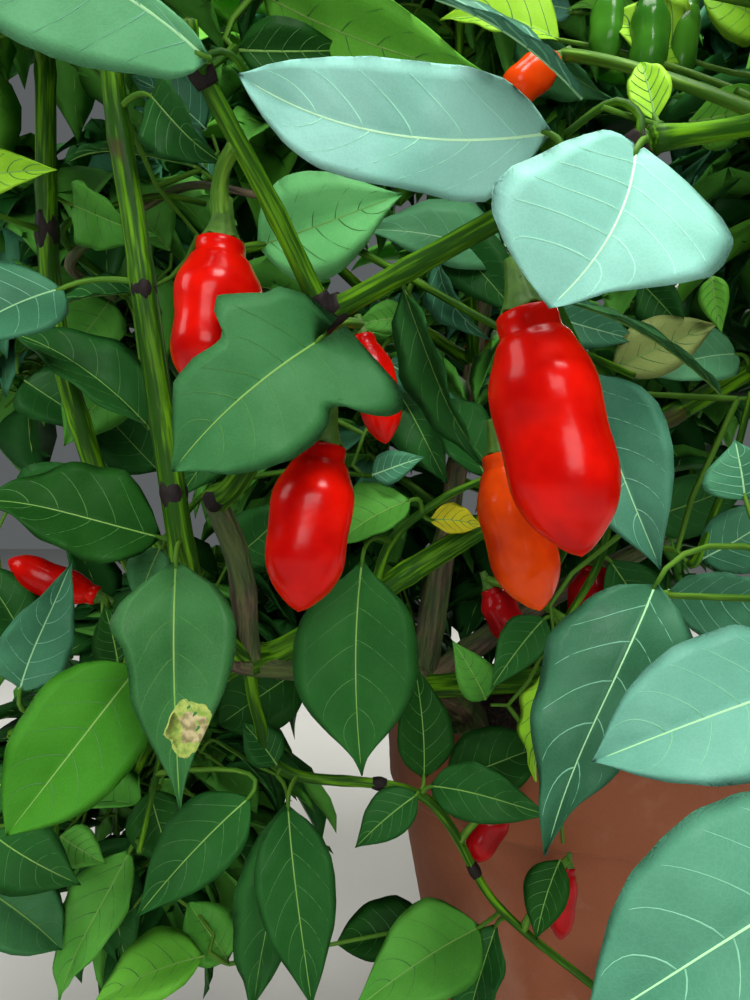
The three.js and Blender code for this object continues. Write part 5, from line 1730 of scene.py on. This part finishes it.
green_skin = green_stem_finish(
    "stem_green", (0.012, 0.055, 0.002), (0.100, 0.265, 0.005), (0.045, 0.028, 0.012),
)
twig_skin = green_stem_finish(
    "twig_green", (0.045, 0.130, 0.010), (0.140, 0.290, 0.030), (0.100, 0.090, 0.030),
)
bark_skin = bark_finish()
joint_skin = collar_finish()
vein_skins = {kind: vein_finish(kind) for kind in VEIN_COLOURS}
leaf_skins = {colour: leaf_finish(colour) for colour in LEAF_COLOURS}
pod_skins = {colour: pod_finish(colour) for colour in POD_COLOURS}

# The pot and its soil
placed(pot_form().made("pot_thrown", terracotta_finish()), "terracotta", "pot")
soil_skin = soil_finish()
placed(soil_form().made("soil_filled", soil_skin), "potting_soil", "soil")

CRUMB_DENSITY = 30000
CRUMB_SIZE = (0.0009, 0.0028)
CRUMB_UNEVEN = (0.75, 0.35)
CRUMB_SEED = 4
BED_SIDES = 40
BED_MARGIN = 8
BED_TOP = SOIL_TOP - 0.6
bpy.ops.mesh.primitive_ico_sphere_add(subdivisions=1, radius=1)
crumb = bpy.context.object
for corner in crumb.data.vertices:
    corner.co *= CRUMB_UNEVEN[0] + CRUMB_UNEVEN[1] * noise.random()
bed = Stock()
bed_radius = BODY_RADIUS - POT_WALL - BED_MARGIN
bed_turn = round_about(BED_SIDES)
bed_edge = np.stack([bed_radius * np.cos(bed_turn), bed_radius * np.sin(bed_turn),
                     np.full(BED_SIDES, BED_TOP)], axis=1)
bed.add(np.concatenate([bed_edge, [v(0, 0, BED_TOP)]]),
        threes=[(i, (i + 1) % BED_SIDES, BED_SIDES) for i in range(BED_SIDES)])
crumbs = crumb_tree().run(
    "soil_crumbs", bed.made("bed", soil_skin), Finish=soil_skin, Crumb=crumb,
    Density=float(CRUMB_DENSITY), Smallest=CRUMB_SIZE[0], Largest=CRUMB_SIZE[1], Seed=CRUMB_SEED)
bpy.data.objects.remove(crumb)
placed(crumbs, "potting_soil")

# Trunk, boughs and the stems of the masses
bark, green, joints = Stock(), Stock(), Stock()
for number, (name, points, start_radius, end_radius, skin) in enumerate(LIMBS):
    if name == "trunk":
        limb(bark, points, (start_radius, end_radius), skin, number, TRUNK_SIDES, TRUNK_RING, TRUNK_FLARE)
    else:
        limb(bark if skin == "bark" else green, points, (start_radius, end_radius), skin, number)
for number, mass in enumerate(MASSES):
    near = number < NEAR_MASSES
    sides, ring = (NEAR_STEM_SIDES, NEAR_STEM_RING) if near else (FAR_STEM_SIDES, FAR_STEM_RING)
    for path, radii in [(mass["stem"], mass["radii"])] + mass.get("arms", []):
        limb(green, path, radii, "green", number + STEM_SEED, sides, ring)

FRONT, FRONT_LEFT, FAR_LEFT, LOW_FRONT = MASSES[0], MASSES[1], MASSES[2], MASSES[4]
FRONT_RISE, FRONT_REACH = FRONT["arms"][0][0], FRONT["arms"][1][0]
# Collars: path, share of it, radius and length
COLLARS = [
    (FRONT["stem"], 1.0, 6.2, 15), (FRONT_RISE, 0.02, 6.0, 15), (FRONT_REACH, 0.02, 6.0, 15),
    (FRONT_REACH, 0.98, 5.0, 16), (FRONT_RISE, 0.86, 4.6, 10),
    (FRONT["stem"], 0.02, 6.6, 16), (FRONT_LEFT["stem"], 0.55, 5.5, 10),
    (FRONT_LEFT["stem"], 0.33, 5.9, 12), (FAR_LEFT["stem"], 0.62, 5.7, 20),
    (LOW_FRONT["stem"], 0.42, 3.6, 8), (LOW_FRONT["stem"], 0.68, 3.2, 8),
]
for number, (path, share, radius, length) in enumerate(COLLARS):
    collar(joints, path, share, radius, length, number)

# Leaves and fruit
near_leaves = {colour: Stock() for colour in LEAF_COLOURS}
vein_stocks = {kind: Stock() for kind in VEIN_COLOURS}
stalks, calyces = Stock(), Stock()
pods = {colour: Stock() for colour in POD_COLOURS}
lines = {"points": [], "edges": [], "thick": []}
crown = {colour: [] for colour in LEAF_COLOURS}
room = Room()
# The crown's tones, each with the share at which it ends. Height shifts the share, so the darker tones paint
# shade low in the crown and the brighter ones paint sunlight high up.
CROWN_SHARES = (("dark", 0.20), ("mid", 0.50), ("fresh", 0.76), ("blue", 0.86), ("bright", 1.0))
SHADE_BELOW = 260
SHADE_RANGE = 460
PAINTED_LIGHT_BY_HEIGHT = 0.4


def spray_colour(roll, height):
    """Darker greens low in the crown and brighter ones high up: painted shade low down and painted sunlight
    high up.
    """
    risen = min(max((height - SHADE_BELOW) / SHADE_RANGE, 0), 1)
    share = roll() * (1 - PAINTED_LIGHT_BY_HEIGHT) + risen * PAINTED_LIGHT_BY_HEIGHT
    return next(colour for colour, most in CROWN_SHARES if share <= most)


def add_line(line, start_radius, end_radius):
    """One line for the tree that makes stalks."""
    first = len(lines["points"])
    lines["points"].extend(line)
    lines["edges"].extend((first + i, first + i + 1) for i in range(len(line) - 1))
    lines["thick"].extend(np.linspace(start_radius, end_radius, len(line)) * MM)


def add_petiole(leaf, taper):
    """The line of a leaf's petiole, thicker at the twig."""
    add_line(stalk_line(leaf)[::2], PETIOLE_RADIUS * taper[0], PETIOLE_RADIUS * taper[1])


def nearest_twig(point):
    """The nearest point on the twigs and stalks that stand so far."""
    wood = np.array(lines["points"])
    return wood[np.argmin(np.linalg.norm(wood - point, axis=1))]


def add_spray(mass, spray, colour, radii):
    """A twig, if any of its leaves has room, and those leaves."""
    kept = [
        leaf for leaf in spray["leaves"]
        if in_space(mass, leaf["base"]) and in_space(mass, leaf["tip"]) and room.takes(leaf)
    ]
    if not kept:
        return
    middle = (spray["start"] + spray["end"]) / 2 + UP * TWIG_BOW
    add_line(evenly([spray["start"], middle, spray["end"]], TWIG_STEPS), *radii)
    for leaf in kept:
        crown[colour].append(leaf)
        add_petiole(leaf, PETIOLE_TAPER)


def veined_leaf(leaf, stations, columns, steps):
    """A named leaf with veins in the tone that suits its colour."""
    tone = "_pale" if leaf["colour"] in PALE_LEAVES else ""
    # the leaves painted with the sky's reflection get veins painted with it too
    tone = "_haze" if leaf["colour"] in PAINTED_SHEEN_LEAVES else tone
    set_leaf(near_leaves[leaf["colour"]], vein_stocks["midrib" + tone], vein_stocks["vein" + tone],
             leaf, stations, columns, steps)
    room.takes(leaf)


for number, mass in enumerate(MASSES):
    leaves, fruits = named_parts(mass)
    for leaf in leaves:
        veined_leaf(leaf, *FRONT_LEAF_MESH)
        turn = round_about(PETIOLE_SIDES)
        line = stalk_line(leaf)
        swell = np.interp(np.linspace(0, 1, len(line)), *PETIOLE_SWELL)
        tube(stalks, line, PETIOLE_RADIUS * swell[:, None] * (1 + 0.08 * np.cos(3 * turn)[None, :]))
    for i, part in enumerate(fruits):
        pod(pods[part["colour"]], calyces, stalks, part, number * 3 + i + 1, *NAMED_POD_MESH)

dry_edge, dry = Stock(), Stock()
scorched = named_parts(FRONT_LEFT)[0][0]
scorch(dry_edge, scorched, SCORCH_SIZE, BLADE_THICK / 2 + SCORCH_LIFT[0], 1.0)
scorch(dry, scorched, SCORCH_SIZE * SCORCH_PATCH, BLADE_THICK / 2 + SCORCH_LIFT[1], 2.4)

for number, mass in enumerate(MASSES):
    if "twigs" not in mass:
        continue
    twigs, fruit = grown(mass)
    roll = dice(mass["seed"] + SPRAY_SEED)
    for i, twig in enumerate(twigs):
        add_spray(mass, twig, spray_colour(roll, twig["end"][2]), (TWIG_RADIUS, TWIG_TIP))
        if i == POD_TWIG and mass["twigs"] > POD_FROM and in_space(mass, fruit["tip"]):
            ripe = pods["red" if number % 3 else "orange"]
            pod(ripe, calyces, stalks, fruit, mass["seed"], *CROWN_POD_MESH)
    for twig in twigs:
        for shoot in finer(mass, twig, roll):
            add_spray(mass, shoot, spray_colour(roll, shoot["end"][2]), FINE_RADIUS)

for row in SEEN_BEHIND:
    base, tip = row[:2]
    leaf = named_leaf(row, nearest_twig(base), base[0] + tip[2])
    veined_leaf(leaf, *BEHIND_LEAF_MESH)
    add_petiole(leaf, BEHIND_TAPER)
for number, (places, radii, skin) in enumerate(SHOOTS_BEHIND):
    stock = bark if skin == "bark" else green
    path = [nearest_twig(places[0]), *places]
    limb(stock, path, radii, skin, number + SHOOT_SEED, SHOOT_SIDES, SHOOT_RING)

# One blade of each form, and its veins, for the leaves of the crown
BLADE_SIZE = 100
CROWN_FORMS = ("plain", "wavy", "broad", "cupped", "slim", "wavy", "cupped")
NEAR_DEPTH = 500
blade_kinds = bpy.data.collections.new("blades")
rib_kinds = bpy.data.collections.new("midribs")
vein_kinds = bpy.data.collections.new("veins")
for number, form in enumerate(CROWN_FORMS):
    blade = Blade(BLADE_SIZE, BLADE_SIZE * LEAF_WIDTH, form, number * 1.3, swelling=0)
    sheet, rib, net = Stock(), Stock(), Stock()
    sheet.add(*light_blade(blade))
    rib.add(*light_midrib(blade))
    for points, quads, threes in light_veins(blade):
        net.add(points, quads, threes)
    made_kinds = ((sheet, blade_kinds, "blade"), (rib, rib_kinds, "rib"), (net, vein_kinds, "vein"))
    for stock, kinds, kind_name in made_kinds:
        made = stock.made(f"{kind_name}_{number}", None)
        bpy.context.scene.collection.objects.unlink(made)
        kinds.objects.link(made)

leaves_on_twigs = leaf_tree()


def crown_piece(name, leaves, kinds, finish):
    """One piece with a blade, midrib or veins on each of the leaves."""
    aims, sizes = [], []
    for leaf in leaves:
        aims.append(tuple(Matrix(leaf_axes(leaf).tolist()).to_quaternion()))
        long = leaf_length(leaf) / BLADE_SIZE
        sizes.append((leaf["width"] / BLADE_SIZE / LEAF_WIDTH, long, long))
    carrier = carrier_mesh(
        "carrier", [leaf["base"] for leaf in leaves],
        aim=("QUATERNION", "value", aims), size=("FLOAT_VECTOR", "vector", sizes),
        kind=("INT", "value", [leaf["kind"] for leaf in leaves]))
    return placed(leaves_on_twigs.run(name, carrier, Finish=finish, Blades=kinds), "foliage")


near_ribbed, far_ribbed = [], []
for colour, leaves in crown.items():
    for number, leaf in enumerate(leaves):
        leaf["kind"] = number % len(CROWN_FORMS)
        near = leaf["base"][1] - EYE[1] < NEAR_DEPTH
        (near_ribbed if near else far_ribbed).append(leaf)
    if leaves:
        crown_piece("crown_leaves_" + colour, leaves, blade_kinds, leaf_skins[colour])
crown_piece("crown_veins_near", near_ribbed, vein_kinds, vein_skins["vein"])
crown_piece("crown_midribs", near_ribbed + far_ribbed, rib_kinds, vein_skins["midrib"])
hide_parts(*FOLIAGE_NODES)
for colour, stock in near_leaves.items():
    if stock.count:
        placed(stock.made("front_leaves_" + colour, leaf_skins[colour]), "foliage")
edge_skin = dry_finish("scorched_edge", (0.16, 0.26, 0.03), (0.30, 0.36, 0.07))
placed(dry_edge.made("scorched_edge", edge_skin), "foliage")
patch_skin = dry_finish("scorched_patch", (0.17, 0.15, 0.05), (0.40, 0.33, 0.17))
placed(dry.made("scorched_patch", patch_skin), "foliage")
for kind, stock in vein_stocks.items():
    placed(stock.made("front_" + kind, vein_skins[kind]), "foliage")
for kind in [*blade_kinds.objects, *rib_kinds.objects, *vein_kinds.objects]:
    bpy.data.objects.remove(kind)

twig_lines = carrier_mesh("lines", lines["points"], lines["edges"], thick=("FLOAT", "value", lines["thick"]))
placed(stalk_tree().run("twigs_and_stalks", twig_lines, Finish=twig_skin, Sides=TWIG_SIDES), "green_stem")
placed(stalks.made("front_stalks", twig_skin), "green_stem")
placed(bark.made("bark_limbs", bark_skin), "stem_bark", "trunk")
placed(green.made("green_limbs", green_skin), "green_stem", *BOUGH_NODES)
placed(joints.made("stem_joints", joint_skin), "green_stem")
placed(calyces.made("calyces", calyx_finish()), "foliage")
for colour, stock in pods.items():
    if stock.count:
        placed(stock.made("pods_" + colour, pod_skins[colour]), "foliage")

# Camera, floor and light
SENSOR = 36
eye = bpy.data.cameras.new("eye")
eye.sensor_width = SENSOR
eye.lens = FOCAL / PICTURE_HEIGHT * SENSOR
eye.clip_start, eye.clip_end = 0.01, 50
camera = linked("eye", eye)
camera.location = tuple(EYE * MM)
camera.rotation_euler = (math.pi / 2, 0, 0)
bpy.context.scene.camera = camera

FLOOR_SIZE = 12
bpy.ops.mesh.primitive_plane_add(size=FLOOR_SIZE, location=(0, 0, 0))
floor = bpy.context.object
floor.name = "floor"
floor.data.materials.append(floor_finish())
floor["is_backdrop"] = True

CROWN_MIDDLE = Vector((-0.12, -0.05, 0.48))


def soft_light(name, place, width, height, power, colour):
    """A large soft light that faces the crown."""
    lamp = bpy.data.lights.new(name, "AREA")
    lamp.shape = "RECTANGLE"
    lamp.size, lamp.size_y = width, height
    lamp.energy = power
    lamp.color = colour
    made = linked(name, lamp)
    made.location = place
    made.rotation_euler = (CROWN_MIDDLE - Vector(place)).to_track_quat("-Z", "Y").to_euler()


soft_light("sky_front", (0.30, -1.5, 1.9), 0.6, 0.45, 31, (1.0, 0.99, 0.97))
soft_light("sky_fill", (-0.16, -2.5, 1.0), 1.1, 0.8, 27, (1.0, 1.0, 0.98))
soft_light("sky_top", (-0.1, -0.4, 2.3), 1.2, 1.2, 50, (1.0, 1.0, 0.95))
soft_light("sky_left", (-1.9, -0.7, 1.4), 0.8, 0.8, 14, (0.99, 1.0, 0.97))
soft_light("sky_back", (0.7, 1.8, 1.9), 1.2, 1.2, 40, (1.0, 0.98, 0.88))
world = bpy.data.worlds.new("studio")
world.use_nodes = True
world.node_tree.nodes["Background"].inputs["Color"].default_value = (0.62, 0.66, 0.68, 1)
world.node_tree.nodes["Background"].inputs["Strength"].default_value = 0.17
bpy.context.scene.world = world
bpy.context.scene.view_settings.view_transform = "Standard"
bpy.context.scene.view_settings.look = "None"

sizes = {"cad": CAD_BOX, "visual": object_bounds()}
{name: [list(corner) for corner in box] for name, box in sizes.items()}
